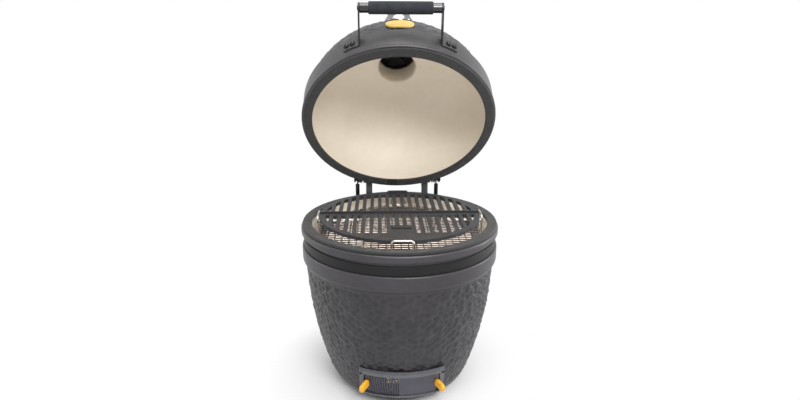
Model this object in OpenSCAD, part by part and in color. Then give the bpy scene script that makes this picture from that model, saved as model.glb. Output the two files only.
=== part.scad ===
/* [Base] */
// Outer radius of the ceramic lips on the base and on the lid
rim_r = 275; // [265:1:290]
// Height from the foot to the top of the base gasket
base_h = 480; // [460:1:520]
// Thickness of the base wall and floor
wall = 30; // [26:1:34]
// Widest radius of the dimpled belly
belly_r = 265; // [258:1:268]
// Depth of the widest place below the rim plane
belly_drop = 90; // [70:1:110]
// Radius of the belly's curve, seen from the side
belly_arc = 1000; // [900:10:1300]
// Rounding between the belly and the foot
foot_round = 75; // [60:1:90]
// Radius of the mouth inside both gaskets
mouth_r = 245; // [241:1:249]
// Depth of the straight mouth below the rim plane
mouth_drop = 45; // [40:1:60]

/* [Rim] */
// Width of both felt gaskets
gasket_w = 26; // [20:1:28]
// Thickness of the felt gasket on the base
base_felt = 8; // [6:1:10]
// Thickness of the felt gasket on the lid
lid_felt = 6; // [4:1:8]
// Height of the ceramic lip under the base gasket
lip_h = 20; // [16:1:24]
// Rounding of the ceramic lips
lip_round = 5; // [3:0.5:7]
// Width of the steel band round the base
base_band_w = 26; // [20:1:30]
// Height of the open groove between the base band and the lip
lip_groove = 8; // [2:1:12]
// Thickness of both steel bands
band_t = 3; // [2:0.5:4]
// Height of the smooth collar under the base band
collar_h = 33; // [28:1:50]
// Rounding under the collar
collar_round = 14; // [10:1:36]

/* [Lid] */
// Angle between the closed lid and the lid as it stands open
open_angle = 54; // [40:1:60]
// Radius of the dome outside
dome_r = 272; // [270:0.5:274]
// Height of the dome's centre above the lid plane
dome_z = 30; // [20:1:36]
// Height of the inner bowl's centre above the lid plane
bowl_z = 15; // [8:1:20]
// Height of the ceramic lip of the lid
lid_lip_h = 24; // [18:1:28]
// Height of the band's upper edge above the lid plane
lid_band_top = 85; // [80:1:90]
// Radius of the chimney bore
chimney_r = 57; // [50:1:60]
// Thickness of the chimney's neck
neck_t = 21; // [16:1:26]
// Height of the neck's flat top above the lid plane
neck_z = 318; // [306:1:324]

/* [Hinge] */
// Gap between the lid bracket's sheet and the hinge pin
pin_gap = 1.6; // [1:0.2:6]
// Height of the hinge pin above the rim plane
hinge_rise = 40; // [34:1:48]
// Radius of the hinge pin
pin_r = 6; // [5:0.5:7]
// Radius of the hinge eyes
eye_r = 12; // [11:0.5:14]
// Distance of each hinge post's inner side from the middle
post_x = 80; // [60:1:82]
// Width of each hinge post
post_w = 20; // [14:1:22]
// Thickness of the sheet of both hinge brackets
bracket_t = 4; // [3:0.5:5]
// Thickness of the lid bracket's arms
arm_t = 8; // [6:0.5:9]
// Radius of the torsion springs' wire
spring_wire = 2; // [1.5:0.25:2.25]
// Turns of each torsion spring
spring_turns = 3; // [2:1:3]
// Space between two turns of the spring
spring_space = 0.8; // [0.6:0.1:1]

/* [Handle] */
// Half length of the handle, to the outsides of its arms
handle_half = 108; // [95:1:116]
// Distance of the handle tube in front of the lid's axis
handle_y = 325; // [318:1:340]
// Height of the handle tube above the lid plane
handle_z = 92; // [85:1:105]
// Radius of the handle tube
tube_r = 12.5; // [11:0.5:14]
// Radius of the foam grip
grip_r = 16; // [15:0.5:18]
// Half length of the foam grip
grip_half = 81.5; // [70:0.5:88]
// Width of the handle's flat arms
strip_w = 26; // [22:1:27]
// Thickness of the handle's flat arms
strip_t = 4; // [3:0.5:5]
// Length of each handle foot along the band, in degrees
foot_sweep = 9.5; // [8:0.5:12]
// Radius of the handle's dome nuts, over their corners
dome_nut_r = 7.5; // [6:0.5:8]
// Height of the six flats of the handle's dome nuts
dome_nut_h = 6; // [4:0.5:8]

/* [Badge and thermometer] */
// Width of the plain badge plate
badge_w = 76; // [60:1:90]
// Height of the plain badge plate
badge_h = 50; // [36:1:54]
// Thickness of the badge plate
badge_t = 4; // [3:0.5:6]
// Place of the badge, in degrees above the dome's equator
badge_at = 19; // [17:1:20]
// Place of the thermometer, in degrees above the dome's equator
thermo_at = 42; // [41:1:50]
// Radius of the thermometer case
case_r = 31; // [26:1:34]
// Height of the thermometer case
case_h = 18; // [14:1:24]
// Radius of the thermometer's stem
stem_r = 4; // [3:0.5:5]
// Length of the stem inside the lid
stem_reach = 60; // [40:1:80]

/* [Top vent] */
// Thickness of the cast vent plates
vent_t = 5; // [4:0.5:7]
// Openings in each vent plate
vent_gaps = 3; // [3:1:4]
// Radius of the vent's pivot bolt
pivot_r = 4; // [3:0.5:5]
// Height of the vent wheel's knob
knob_h = 22; // [16:1:28]

/* [Grates] */
// Radius of the pair of half-moon grates
grate_r = 224; // [220:0.5:224.5]
// Thickness of the grates
grate_t = 9; // [7:0.5:11]
// Height of the grates' top above the rim plane
grate_rise = 15; // [0:0.5:20]
// Pitch of the slots
slot_pitch = 22.4; // [20:0.4:26]
// Width of the slots
slot_w = 12.4; // [9:0.2:14]
// Slots across each half
slot_count = 19; // [15:2:19]
// Solid border of the grates
grate_border = 16; // [12:1:20]
// Distance of the front slots' ends from the middle
front_slot_end = 168; // [150:1:180]
// Distance of the three middle front slots' ends from the middle
centre_slot_end = 108; // [100:1:116]
// Distance of the rear slots' ends from the middle
rear_slot_end = 186; // [170:1:196]
// Width of the lifting slot in the front grate
lift_w = 54; // [40:1:58]
// Length of the lifting slot from front to back
lift_h = 14; // [10:1:16]
// Half width of the rear lifting tab
tab_half = 32; // [24:1:40]
// Height of the rear lifting tab
tab_rise = 4; // [2:1:18]

/* [Rack] */
// Radius of the rack's wire
rack_wire = 3; // [2.5:0.25:3.25]
// Radius of the thick wire of the rack's lower ring
rack_ring_wire = 3.6; // [3.5:0.1:4.5]
// Radius of the grid's thin wire
grid_wire = 2.2; // [1.8:0.2:2.6]
// Pitch of the grid's wires
grid_pitch = 14; // [12:1:24]
// Radius of the small ring under the grates
inner_ring_r = 115; // [100:1:130]
// Half width of the lifting loops
loop_half = 28; // [22:1:34]
// Height of the lifting loops above the rim plane
loop_rise = 18; // [12:1:24]
// Half width of the rear pair of legs
rear_leg_half = 14; // [12:1:20]
// Distance that the rear legs lean inwards, clear of the open lid's felt
rear_lean = 16; // [14:1:20]

/* [Fire box] */
// Height of the fire ring's top below the rim plane
ring_drop = 44; // [40:1:60]
// Height of the fire ring
ring_h = 130; // [100:1:150]
// Gap between the fire ring and the belly's widest place
ring_gap = 7; // [6:1:12]
// Thickness of the fire ring and of the fire box
fire_wall = 22; // [18:1:26]
// Step from the fire box's foot to the edge of the flat floor
fire_foot_in = 6.5; // [4:0.5:20]
// Radius of the charcoal grate
coal_r = 88; // [80:1:92]

/* [Draft door] */
// Half width of the draft frame
frame_half = 114; // [104:1:118]
// Height of the draft frame's lower edge
frame_z = 42; // [38:1:50]
// Length of the draft frame's slope
frame_len = 89; // [84:1:104]
// Radius of the draft frame's lower edge
frame_low_r = 214.5; // [211:0.5:218]
// Lean of the draft frame from upright, in degrees
frame_lean = 17.3; // [15:0.1:19]
// Sheet thickness of the draft door and the ash screen
panel_t = 2; // [1.5:0.25:2.25]
// Sweep of the solid door, in degrees
door_sweep = 28; // [26:1:30]
// Sweep of the perforated screen, in degrees
screen_sweep = 26; // [25:0.5:28]
// Pitch of the screen's holes
hole_pitch = 7; // [6.5:0.5:10]
// Radius of the screen's holes
hole_r = 2.2; // [1.5:0.1:2.4]
// Reach of the pull tabs in front of the door
tab_reach = 30; // [20:1:36]
// Height of the pull tabs
tab_h = 24; // [18:1:30]
// Thickness of the pull tabs
tab_t = 10; // [7:1:12]
// Half width of the draft port in the wall
port_half = 50; // [40:1:56]

/* [Fasteners and fits] */
// Radius of the bolts that hold the brackets and the handle
bolt_r = 3; // [2.5:0.5:3.5]
// Radius of the screws that hold the draft frame
frame_screw_r = 2; // [1.5:0.25:2.25]
// Gap between pieces that are fixed together
fit = 0.2; // [0.1:0.05:0.3]
// Radial clearance of turning pins
run = 0.05; // [0.02:0.01:0.08]
// Gap between pieces that slide past each other
glide = 0.4; // [0.3:0.05:0.6]
// Gap between the two gaskets when the lid is shut
seal_gap = 0.5; // [0.3:0.1:1]

/* [Hidden] */
$fn = 96;
big = 1000;
// Heights in the base, from the foot up
belly_z = base_h - belly_drop;
lip_z = base_h - base_felt - lip_h;
band_z = lip_z - lip_groove - base_band_w - 1;
band_top = band_z + 1 + base_band_w;
collar_z = band_z - collar_h;
recess_r = rim_r - 9;
base_band_r = recess_r + fit + band_t;
collar_r = rim_r - 1.5;
felt_r = mouth_r + gasket_w;
// Corner arc at the foot, which touches the belly arc and the floor
belly_x = belly_r - belly_arc;
corner_dz = foot_round - belly_z;
corner_x = belly_x + sqrt(pow(belly_arc - foot_round, 2) - corner_dz * corner_dz);
corner_dip = asin(-corner_dz / (belly_arc - foot_round));
// Lid, in a frame whose zero is the lid's gasket face
lid_z = base_h + seal_gap;
hinge_z = base_h + hinge_rise;
seat_r = rim_r - 5;
lid_lip_z = lid_felt + lid_lip_h;
lid_band_z = lid_lip_z + 1;
lid_band_r = seat_r + fit + band_t;
hinge_up = hinge_rise - seal_gap;
hinge_y = lid_band_r + fit + bracket_t + pin_gap + pin_r;
lid_bracket_low = lid_lip_z + 1.5;
lid_bracket_h = 2 * eye_r + 20;
lid_bolt_z = lid_bracket_low + lid_bracket_h - 9;
// Hinge parts along the pin
lid_arm_x = post_x + post_w + glide;
coil_x = lid_arm_x + arm_t + 2 * glide + 2 * spring_wire;
coil_r = eye_r - spring_wire;
coil_pitch = 2 * spring_wire + spring_space;
coil_len = spring_turns * coil_pitch;
leg_x = coil_x + coil_len;
leg_y = hinge_y - coil_r;
leg_foot = band_z + 3;
pin_half = leg_x + spring_wire + 4;
pin_head = 5;
nut_h = 7;
bracket_r = base_band_r + fit;
post_y = sqrt(pow(lid_band_r + fit + bracket_t, 2) - post_x * post_x) + 2;
post_t = 10;
ear_w = 12;
ear_h = 10;
band_mid = band_top - base_band_w / 2;
hinge_bolts_at = [-post_x + 14, -30, 30, post_x - 14];
base_bolt_bearings = [for (x = hinge_bolts_at) 90 - asin(x / bracket_r)];
lid_bolt_bearings = [for (x = hinge_bolts_at) 90 - asin(x / lid_band_r)];
lid_plate_half = lid_arm_x + arm_t + 14;
lid_plate_sweep = 2 * asin(lid_plate_half / lid_band_r);
// Path of the spring's wire
spring_sides = 6;
turn_steps = 8;
function coil_point(a) = [coil_x + coil_len * a / (360 * spring_turns),
  hinge_y - coil_r * cos(a), hinge_z - coil_r * sin(a)];
coil_path = [for (i = [0:spring_turns * turn_steps]) coil_point(360 * i / turn_steps)];
spring_path = concat([coil_path[0] - [2 * spring_wire, 0, 0]], coil_path,
  [for (z = [hinge_z - eye_r, leg_foot + 14, leg_foot]) [leg_x, leg_y, z]]);
spring_self_gap = min([for (i = [0:len(coil_path) - 1])
  for (j = [i + turn_steps - 2:len(coil_path) - 1]) norm(coil_path[i] - coil_path[j])])
  - 2 * spring_wire;
plate_half = leg_x + spring_wire + 2;
plate_sweep = 2 * asin(plate_half / bracket_r);
// Handle
foot_r = lid_band_r + fit;
foot_z = lid_band_z + 2;
foot_h = strip_w + 2;
arm_y = sqrt(pow(foot_r, 2) - pow(handle_half, 2));
arm_from = asin((handle_half - strip_t) / foot_r);
tube_half = handle_half - strip_t - fit;
grip_round = 2;
end_head = 1.6;
handle_bolt_bearings = [for (s = [-1, 1]) for (f = [0.42, 0.8]) 270 + s * (arm_from + f * foot_sweep)];
// Thermometer
bowl_along = sqrt(pow(mouth_r, 2) - pow((dome_z - bowl_z) * cos(thermo_at), 2));
bowl_depth = dome_r - bowl_along + (dome_z - bowl_z) * sin(thermo_at);
case_foot = 12;
dial_z = case_foot + case_h - 8;
lens_t = 2;
// Vent
neck_r = chimney_r + neck_t;
vent_z = neck_z + fit;
vent_r = neck_r - 10;
wheel_z = vent_z + 2 * vent_t + glide;
gap_sweep = 180 / vent_gaps - 4;
spigot_h = 8;
// Fire box
ring_r = belly_r - wall - ring_gap;
fire_foot_r = corner_x - fire_foot_in;
fire_top_r = ring_r - 4;
coal_t = 8;
// Grates and rack
grate_z = base_h + grate_rise - grate_t;
ring_z = base_h - ring_drop;
loop_d = grate_r + 0.5 + rack_wire;
rack_r = sqrt(loop_d * loop_d + loop_half * loop_half);
rack_z = ring_z + 0.3 + rack_ring_wire;
spoke_z = grate_z - 0.3 - rack_wire;
grid_z = rack_z + rack_ring_wire + grid_wire + 0.1;
loop_bend = 10;
rear_bend_z = grid_z + grid_wire + rack_wire;
spoke_in = 22;
legs = [[0, loop_half, true], [180, loop_half, true], [270, loop_half, true],
  [90, rear_leg_half, false]];
leg_d = sqrt(rack_r * rack_r - rear_leg_half * rear_leg_half);
grid_rows = floor((rack_r - grid_pitch) / grid_pitch);
grid_ties = [-70, 0, 70];
lift_y = centre_slot_end + grate_border + lift_h / 2;
tab_round = min(6, tab_rise);
// Draft door: distances inwards from the frame's face
frame_depth = 9;
lip_t = 2;
groove_t = 2 * panel_t + 3 * glide;
groove_d = 4;
side_border = 12;
low_border = 5;
top_border = 11;
door_in = lip_t + glide;
screen_in = door_in + panel_t + glide;
window_half = frame_half - side_border;
window_len = frame_len - low_border - top_border;
panel_low = low_border - groove_d + glide;
panel_len = window_len + 2 * groove_d - 2 * glide;
mid_r = frame_low_r + frame_len / 2 * sin(frame_lean);
mid_z = frame_z + frame_len / 2 * cos(frame_lean);
window_sweep = asin((window_half - 1) / mid_r);
door_from = window_sweep - door_sweep - 0.5;
screen_from = -window_sweep + 0.5;
port_z = frame_z + 14;
port_h = 66;
screw_u = frame_len - 10;
screw_edge = 4.5;
screw_r = frame_low_r + screw_u * sin(frame_lean);
screw_z = frame_z + screw_u * cos(frame_lean);
frame_screw_bearings = [for (s = [-1, 1]) s * asin((frame_half - screw_edge) / screw_r)];
frame_screw_len = 16;
screen_cols = floor((screen_sweep * PI / 180 * mid_r - 14) / hole_pitch);
screen_rows = floor((window_len - 6) / hole_pitch);
hole_step = hole_pitch / mid_r * 180 / PI;
tab_lean = asin((tab_t / 2 + 1) / mid_r);
tab_corner = 4;

// Shapes that several pieces share

// Puts a piece of the lid, drawn on the closed lid plane, where the open lid holds it
module on_open_lid() {
  translate([0, hinge_y, hinge_z]) rotate([-open_angle, 0, 0])
    translate([0, -hinge_y, lid_z - hinge_z]) children();
}

// Puts a piece on the dome's front, with its own Z along the dome's normal
module on_dome(up) {
  translate([0, 0, dome_z]) rotate([90 - up, 0, 0]) translate([0, 0, dome_r]) children();
}

// Round rod from point a to point b
module rod(a, b, r) {
  d = b - a;
  translate(a) rotate([0, acos(d.z / norm(d)), atan2(d.y, d.x)]) cylinder(r = r, h = norm(d));
}

// Rectangle from corner a to corner b
module block2(a, b) {
  translate(a) square(b - a);
}

// Rectangle from corner a to corner b whose outer corners are round
module round_edge(a, b, r) {
  block2(a, [b.x - r, b.y]);
  block2([b.x - 2 * r, a.y + r], [b.x, b.y - r]);
  for (y = [a.y + r, b.y - r]) translate([b.x - r, y]) circle(r);
}

// Plain slot outline: a rectangle with two half-round ends
module stadium(w, h) {
  square([w - h, h], center = true);
  for (s = [-1, 1]) translate([s * (w - h) / 2, 0]) circle(h / 2);
}

// Bolt with a hexagon head on a radius at a bearing; its shank points inwards
module radial_bolt(bearing, r, z, shank, head_r = 2 * bolt_r, head_h = 1.6 * bolt_r) {
  rotate([0, 0, bearing]) translate([r, 0, z]) rotate([0, 90, 0]) {
    cylinder(r = head_r, h = head_h, $fn = 6);
    translate([0, 0, head_h - 0.1]) cylinder(r = 0.75 * head_r, h = 0.35 * head_h);
    translate([0, 0, -shank]) cylinder(r = bolt_r, h = shank + 0.1);
  }
}

// Hole for a bolt on a radius at a bearing
module radial_hole(bearing, r, z, depth) {
  rotate([0, 0, bearing]) translate([r - depth, 0, z]) rotate([0, 90, 0])
    cylinder(r = bolt_r + fit, h = 2 * depth);
}

// Half section of the vessel, a distance in from the ceramic's outside
module vessel_section(in) {
  split_z = foot_round - (foot_round - in) * sin(corner_dip);
  intersection() {
    translate([belly_x, belly_z]) circle(belly_arc - in, $fn = 360);
    block2([0, split_z], [big, base_h - mouth_drop]);
  }
  block2([0, in], [corner_x, split_z]);
  intersection() {
    translate([corner_x, foot_round]) circle(foot_round - in);
    block2([corner_x, 0], [big, split_z]);
  }
}

// Half section of the ceramic base, filled to its axis
module base_section() {
  vessel_section(0);
  intersection() {
    round_edge([0, collar_z - collar_round], [collar_r, band_z], 4);
    union() {
      block2([0, collar_z], [big, band_z]);
      translate([collar_r - collar_round, collar_z]) circle(collar_round);
    }
  }
  block2([0, band_z - 1], [recess_r, lip_z + 1]);
  round_edge([0, lip_z], [rim_r, lip_z + lip_h], lip_round);
}

// Slanted section of the draft door, u up the slope and v inwards from the frame's face
module slope_section(v0, v1, u0, u1) {
  translate([frame_low_r, frame_z]) rotate(-frame_lean) block2([-v1, u0], [-v0, u1]);
}

// Slanted sheet round the front of the base, between two bearings from the front
module slope_sheet(v0, v1, u0, u1, from, sweep) {
  rotate_extrude(angle = sweep, start = from - 90, $fn = 180) slope_section(v0, v1, u0, u1);
}

// Sheet on the outside of a drum, between two bearings
module drum_sheet(r, t, z, h, from, sweep) {
  rotate_extrude(angle = sweep, start = from, $fn = 180) block2([r, z], [r + t, z + h]);
}

// Pieces of the base

module base_shell() color([0.3, 0.3, 0.31]) difference() {
  rotate_extrude($fn = 180) base_section();
  rotate_extrude($fn = 180) {
    vessel_section(wall);
    block2([0, base_h - mouth_drop - 1], [mouth_r, base_h]);
  }
  translate([-port_half, -big, port_z]) cube([2 * port_half, big, port_h]);
  for (b = frame_screw_bearings) frame_screw_hole(b, frame_screw_r, frame_screw_len);
}

module base_gasket() color([0.4, 0.4, 0.4]) rotate_extrude($fn = 180)
  round_edge([mouth_r, base_h - base_felt], [felt_r, base_h], 2.5);

module base_band() color([0.19, 0.19, 0.2]) difference() {
  rotate_extrude($fn = 180) block2([recess_r + fit, band_z + 1], [base_band_r, band_top]);
  for (b = base_bolt_bearings) radial_hole(b, base_band_r, band_mid, 2 * band_t);
}

module fire_box() color([0.85, 0.78, 0.68]) {
  top = ring_z - ring_h;
  difference() {
    translate([0, 0, wall]) cylinder(r1 = fire_foot_r, r2 = fire_top_r, h = top - wall, $fn = 180);
    translate([0, 0, wall + fire_wall]) cylinder(r1 = fire_foot_r - fire_wall + 6,
      r2 = fire_top_r - fire_wall, h = top - wall - fire_wall + 0.01);
    translate([0, 0, wall - 1]) cylinder(r = coal_r - 14, h = fire_wall + 2);
    translate([-port_half + 8, -big, wall - 1])
      cube([2 * port_half - 16, big - coal_r + 10, fire_wall + 31]);
    for (i = [0:7]) rotate([0, 0, 22.5 + 45 * i]) translate([0, 0, wall + fire_wall + 50])
      rotate([0, 90, 0]) cylinder(r = 9, h = big);
  }
}

module fire_ring() color([0.85, 0.78, 0.68]) rotate_extrude($fn = 180)
  block2([ring_r - fire_wall, ring_z - ring_h], [ring_r, ring_z]);

module charcoal_grate() color([0.2, 0.19, 0.18]) translate([0, 0, wall + fire_wall]) difference() {
  cylinder(r = coal_r, h = coal_t);
  for (i = [0:11]) rotate([0, 0, 30 * i]) translate([54, 0, -1])
    linear_extrude(coal_t + 2) stadium(44, 8);
  for (i = [0:5]) rotate([0, 0, 60 * i + 15]) translate([18, 0, -1])
    cylinder(r = 5, h = coal_t + 2);
}

// Hinge

module eye(x, w) {
  translate([x, hinge_y, hinge_z]) rotate([0, 90, 0]) cylinder(r = eye_r, h = w);
}

module pin_bore() {
  translate([-big / 2, hinge_y, hinge_z]) rotate([0, 90, 0]) cylinder(r = pin_r + run, h = big);
}

module hinge_base_bracket() color([0.16, 0.16, 0.17]) difference() {
  union() {
    drum_sheet(bracket_r, bracket_t, band_z + 1, base_band_w, 90 - plate_sweep / 2, plate_sweep);
    for (s = [-1, 1]) {
      x = s > 0 ? post_x : -post_x - post_w;
      translate([x, post_y - 30, band_z + 1]) cube([post_w, 30 + post_t, base_band_w]);
      translate([x, post_y, band_z + 1]) cube([post_w, post_t, hinge_z - eye_r - band_z + 3]);
      eye(x, post_w);
      translate([x, hinge_y - eye_r, hinge_z - 2 * eye_r])
        cube([post_w, 2 * eye_r - 2, 2 * eye_r]);
      translate([s * leg_x - ear_w / 2, 0, band_z + 1])
        cube([ear_w, leg_y + 2 * spring_wire + 3, ear_h]);
    }
  }
  cylinder(r = bracket_r, h = big, $fn = 180);
  pin_bore();
  for (s = [-1, 1]) translate([s * leg_x, leg_y, 0]) cylinder(r = spring_wire + fit, h = big);
  for (b = base_bolt_bearings) radial_hole(b, bracket_r + bracket_t, band_mid, 2 * bracket_t);
}

module hinge_base_bolts() color([0.1, 0.1, 0.1])
  for (b = base_bolt_bearings)
    radial_bolt(b, bracket_r + bracket_t + fit, band_mid, bracket_t + band_t);

module hinge_pin() color([0.6, 0.6, 0.6])
  translate([-pin_half, hinge_y, hinge_z]) rotate([0, 90, 0]) {
    cylinder(r = pin_r, h = 2 * pin_half + nut_h + 2);
    translate([0, 0, -pin_head]) cylinder(r = pin_r + 4, h = pin_head + 0.1);
  }

module hinge_pin_nut() color([0.1, 0.1, 0.1])
  translate([pin_half + fit, hinge_y, hinge_z]) rotate([0, 90, 0]) difference() {
    cylinder(r = pin_r + 5, h = nut_h, $fn = 6);
    translate([0, 0, -1]) cylinder(r = pin_r + run, h = nut_h + 2);
  }

// Torsion spring: a tail beside the lid arm, close turns round the pin, a leg down into the bracket
echo(spring_self_gap = spring_self_gap);

// Tube of one radius along a list of points, as one closed surface of triangles
function unit(v) = v / norm(v);
function along(p, i) = unit(p[min(i + 1, len(p) - 1)] - p[max(i - 1, 0)]);
function across(d) = unit(cross(d, abs(d.x) < 0.8 ? [1, 0, 0] : [0, 0, 1]));
function ring_at(p, i, r, n, u) = let (v = cross(along(p, i), u))
  [for (k = [0:n - 1]) p[i] + r * (cos(360 * k / n) * u + sin(360 * k / n) * v)];
function carried(p, i) = i == 0 ? across(along(p, 0)) :
  let (d = along(p, i), u = carried(p, i - 1)) unit(u - d * (d * u));

module tube_along(p, r, n) {
  rings = len(p);
  points = [for (i = [0:rings - 1]) each ring_at(p, i, r, n, carried(p, i))];
  sides = [for (i = [0:rings - 2]) for (k = [0:n - 1]) each let (
    a = i * n + k, b = i * n + (k + 1) % n) [[a, a + n, b], [b, a + n, b + n]]];
  last = (rings - 1) * n;
  ends = [for (k = [1:n - 2]) each [[0, k, k + 1], [last, last + k + 1, last + k]]];
  polyhedron(points, concat(sides, ends));
}

module hinge_spring_right() color([0.12, 0.12, 0.12]) tube_along(spring_path, spring_wire, spring_sides);

module hinge_spring_left() color([0.12, 0.12, 0.12]) mirror([1, 0, 0])
  tube_along(spring_path, spring_wire, spring_sides);

// Draft door

// Puts a piece on the frame's face at a bearing from the front, with its Z square to the slope
module on_slope(bearing, r, z) {
  rotate([0, 0, bearing - 90]) translate([r, 0, z]) rotate([0, 90 + frame_lean, 0]) children();
}

module frame_screw_hole(bearing, r, deep) {
  on_slope(bearing, screw_r, screw_z) translate([0, 0, -deep]) cylinder(r = r, h = deep + 20);
}

module draft_frame() color([0.25, 0.25, 0.27]) difference() {
  intersection() {
    slope_sheet(0, frame_depth + 6, 0, frame_len, -60, 120);
    translate([-frame_half, -big, 0]) cube([2 * frame_half, big, big]);
  }
  intersection() {
    slope_sheet(-1, frame_depth + 8, low_border, low_border + window_len, -60, 120);
    translate([-window_half, -big, 0]) cube([2 * window_half, big, big]);
  }
  intersection() {
    slope_sheet(lip_t, lip_t + groove_t, low_border - groove_d, low_border + window_len + groove_d,
      -60, 120);
    translate([-window_half - 2, -big, 0]) cube([2 * window_half + 4, big, big]);
  }
  rotate_extrude($fn = 180) translate([fit, 0]) vessel_section(0);
  for (b = frame_screw_bearings) frame_screw_hole(b, frame_screw_r + fit, 40);
}

module draft_frame_screws() color([0.08, 0.08, 0.08]) for (b = frame_screw_bearings)
  on_slope(b, screw_r, screw_z) {
    translate([0, 0, fit]) cylinder(r = 2 * frame_screw_r, h = frame_screw_r);
    translate([0, 0, -frame_screw_len]) cylinder(r = frame_screw_r - fit, h = frame_screw_len + fit + 0.1);
  }

module draft_door() color([0.33, 0.33, 0.37])
  slope_sheet(door_in, door_in + panel_t, panel_low, panel_low + panel_len, door_from, door_sweep);

module ash_screen() color([0.28, 0.28, 0.3]) difference() {
  slope_sheet(screen_in, screen_in + panel_t, panel_low, panel_low + panel_len,
    screen_from, screen_sweep);
  for (c = [0:screen_cols - 1]) for (k = [0:screen_rows - 1]) {
    u = low_border + window_len / 2 + (k - (screen_rows - 1) / 2) * hole_pitch;
    bearing = screen_from + screen_sweep / 2 + (c - (screen_cols - 1) / 2) * hole_step + 0.9;
    on_slope(bearing, frame_low_r + u * sin(frame_lean), frame_z + u * cos(frame_lean))
      translate([0, 0, -screen_in - panel_t - 3]) cylinder(r = hole_r, h = panel_t + 6, $fn = 24);
  }
}

// Pull tab that stands out of a panel at a bearing; its root is on the panel's face
module pull_tab(bearing, root) {
  length = tab_reach + root;
  rotate([0, 0, bearing - 90]) translate([mid_r, 0, mid_z]) rotate([0, frame_lean, 0])
    translate([-root, 0, 0]) intersection() {
      rotate([90, 0, 0]) linear_extrude(tab_t, center = true) {
        block2([0, -tab_h / 2 + tab_corner], [length - tab_h / 2, tab_h / 2 - tab_corner]);
        block2([tab_corner, -tab_h / 2], [length - tab_h / 2, tab_h / 2]);
        for (s = [-1, 1]) translate([tab_corner, s * (tab_h / 2 - tab_corner)]) circle(tab_corner);
        translate([length - tab_h / 2, 0]) circle(tab_h / 2);
      }
      translate([0, 0, -tab_h]) linear_extrude(2 * tab_h) {
        block2([0, -tab_t / 2], [length - tab_t / 2, tab_t / 2]);
        translate([length - tab_t / 2, 0]) circle(tab_t / 2);
      }
    }
}

module draft_door_tab() color([0.95, 0.65, 0.15])
  pull_tab(door_from + door_sweep - tab_lean, door_in - fit);
module ash_screen_tab() color([0.95, 0.65, 0.15])
  pull_tab(screen_from + tab_lean, screen_in - fit);

// Rack and grates

// Loop that rises at a bearing; its sides are legs that stand on the lower ring
module lifting_loop(bearing, half) {
  top = base_h + loop_rise - rack_wire;
  rotate([0, 0, bearing]) translate([loop_d, 0, 0]) {
    for (s = [-1, 1]) {
      translate([0, s * half, rack_z]) cylinder(r = rack_wire, h = top - loop_bend - rack_z);
      translate([0, s * (half - loop_bend), top - loop_bend]) rotate([0, -90, 0])
        rotate([0, 0, s > 0 ? 0 : 270])
          rotate_extrude(angle = 90) translate([loop_bend, 0]) circle(rack_wire);
    }
    translate([0, -half + loop_bend, top]) rotate([-90, 0, 0])
      cylinder(r = rack_wire, h = 2 * (half - loop_bend));
  }
}

module rack_frame() color([0.8, 0.8, 0.8]) {
  translate([0, 0, rack_z]) rotate_extrude($fn = 180) translate([rack_r, 0]) circle(rack_ring_wire);
  translate([0, 0, spoke_z]) rotate_extrude($fn = 120) translate([inner_ring_r, 0]) circle(rack_wire);
  spoke_d = sqrt(pow(inner_ring_r, 2) - pow(spoke_in, 2));
  for (l = legs) {
    if (l[2]) lifting_loop(l[0], l[1]);
    rotate([0, 0, l[0]]) for (s = [-1, 1]) {
      d = l[2] ? loop_d : leg_d;
      top_d = l[2] ? d : d - rear_lean;
      if (!l[2]) {
        translate([d, s * l[1], rack_z]) cylinder(r = rack_wire, h = rear_bend_z + 1 - rack_z);
        rod([d, s * l[1], rear_bend_z - 1], [top_d, s * l[1], spoke_z + 1], rack_wire - 0.1);
      }
      rod([top_d, s * l[1], spoke_z], [spoke_d, s * spoke_in, spoke_z], rack_wire - 0.2);
    }
  }
}

module wire_grid() color([0.8, 0.8, 0.8]) {
  for (i = [-grid_rows:grid_rows]) {
    half = sqrt(pow(rack_r, 2) - pow(i * grid_pitch, 2));
    keep = abs(i * grid_pitch) < loop_half + rack_wire + grid_wire ? loop_d - rack_wire - 1.5 : half;
    reach = min(half, keep);
    rod([-reach, i * grid_pitch, grid_z], [reach, i * grid_pitch, grid_z], grid_wire);
  }
  for (x = grid_ties) {
    rows = min(grid_rows, floor(sqrt(pow(rack_r, 2) - x * x) / grid_pitch));
    y = rows * grid_pitch + grid_wire;
    rod([x, -y, grid_z - 1.5 * grid_wire], [x, y, grid_z - 1.5 * grid_wire], grid_wire);
  }
}

// Flat outline of the half grate in front; its three middle slots stop at centre_end
module half_grate(slot_end, centre_end) {
  difference() {
    intersection() {
      circle(grate_r, $fn = 180);
      block2([-big, -big], [big, -1]);
    }
    intersection() {
      circle(grate_r - grate_border, $fn = 180);
      for (i = [-(slot_count - 1) / 2:(slot_count - 1) / 2]) {
        end = abs(i) < 2 ? centre_end : slot_end;
        block2([i * slot_pitch - slot_w / 2, -end], [i * slot_pitch + slot_w / 2, -1 - grate_border]);
      }
    }
  }
}

module front_grate() color([0.25, 0.24, 0.24]) translate([0, 0, grate_z]) linear_extrude(grate_t)
  difference() {
    half_grate(front_slot_end, centre_slot_end);
    translate([0, -lift_y]) square([lift_w, lift_h], center = true);
  }

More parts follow.
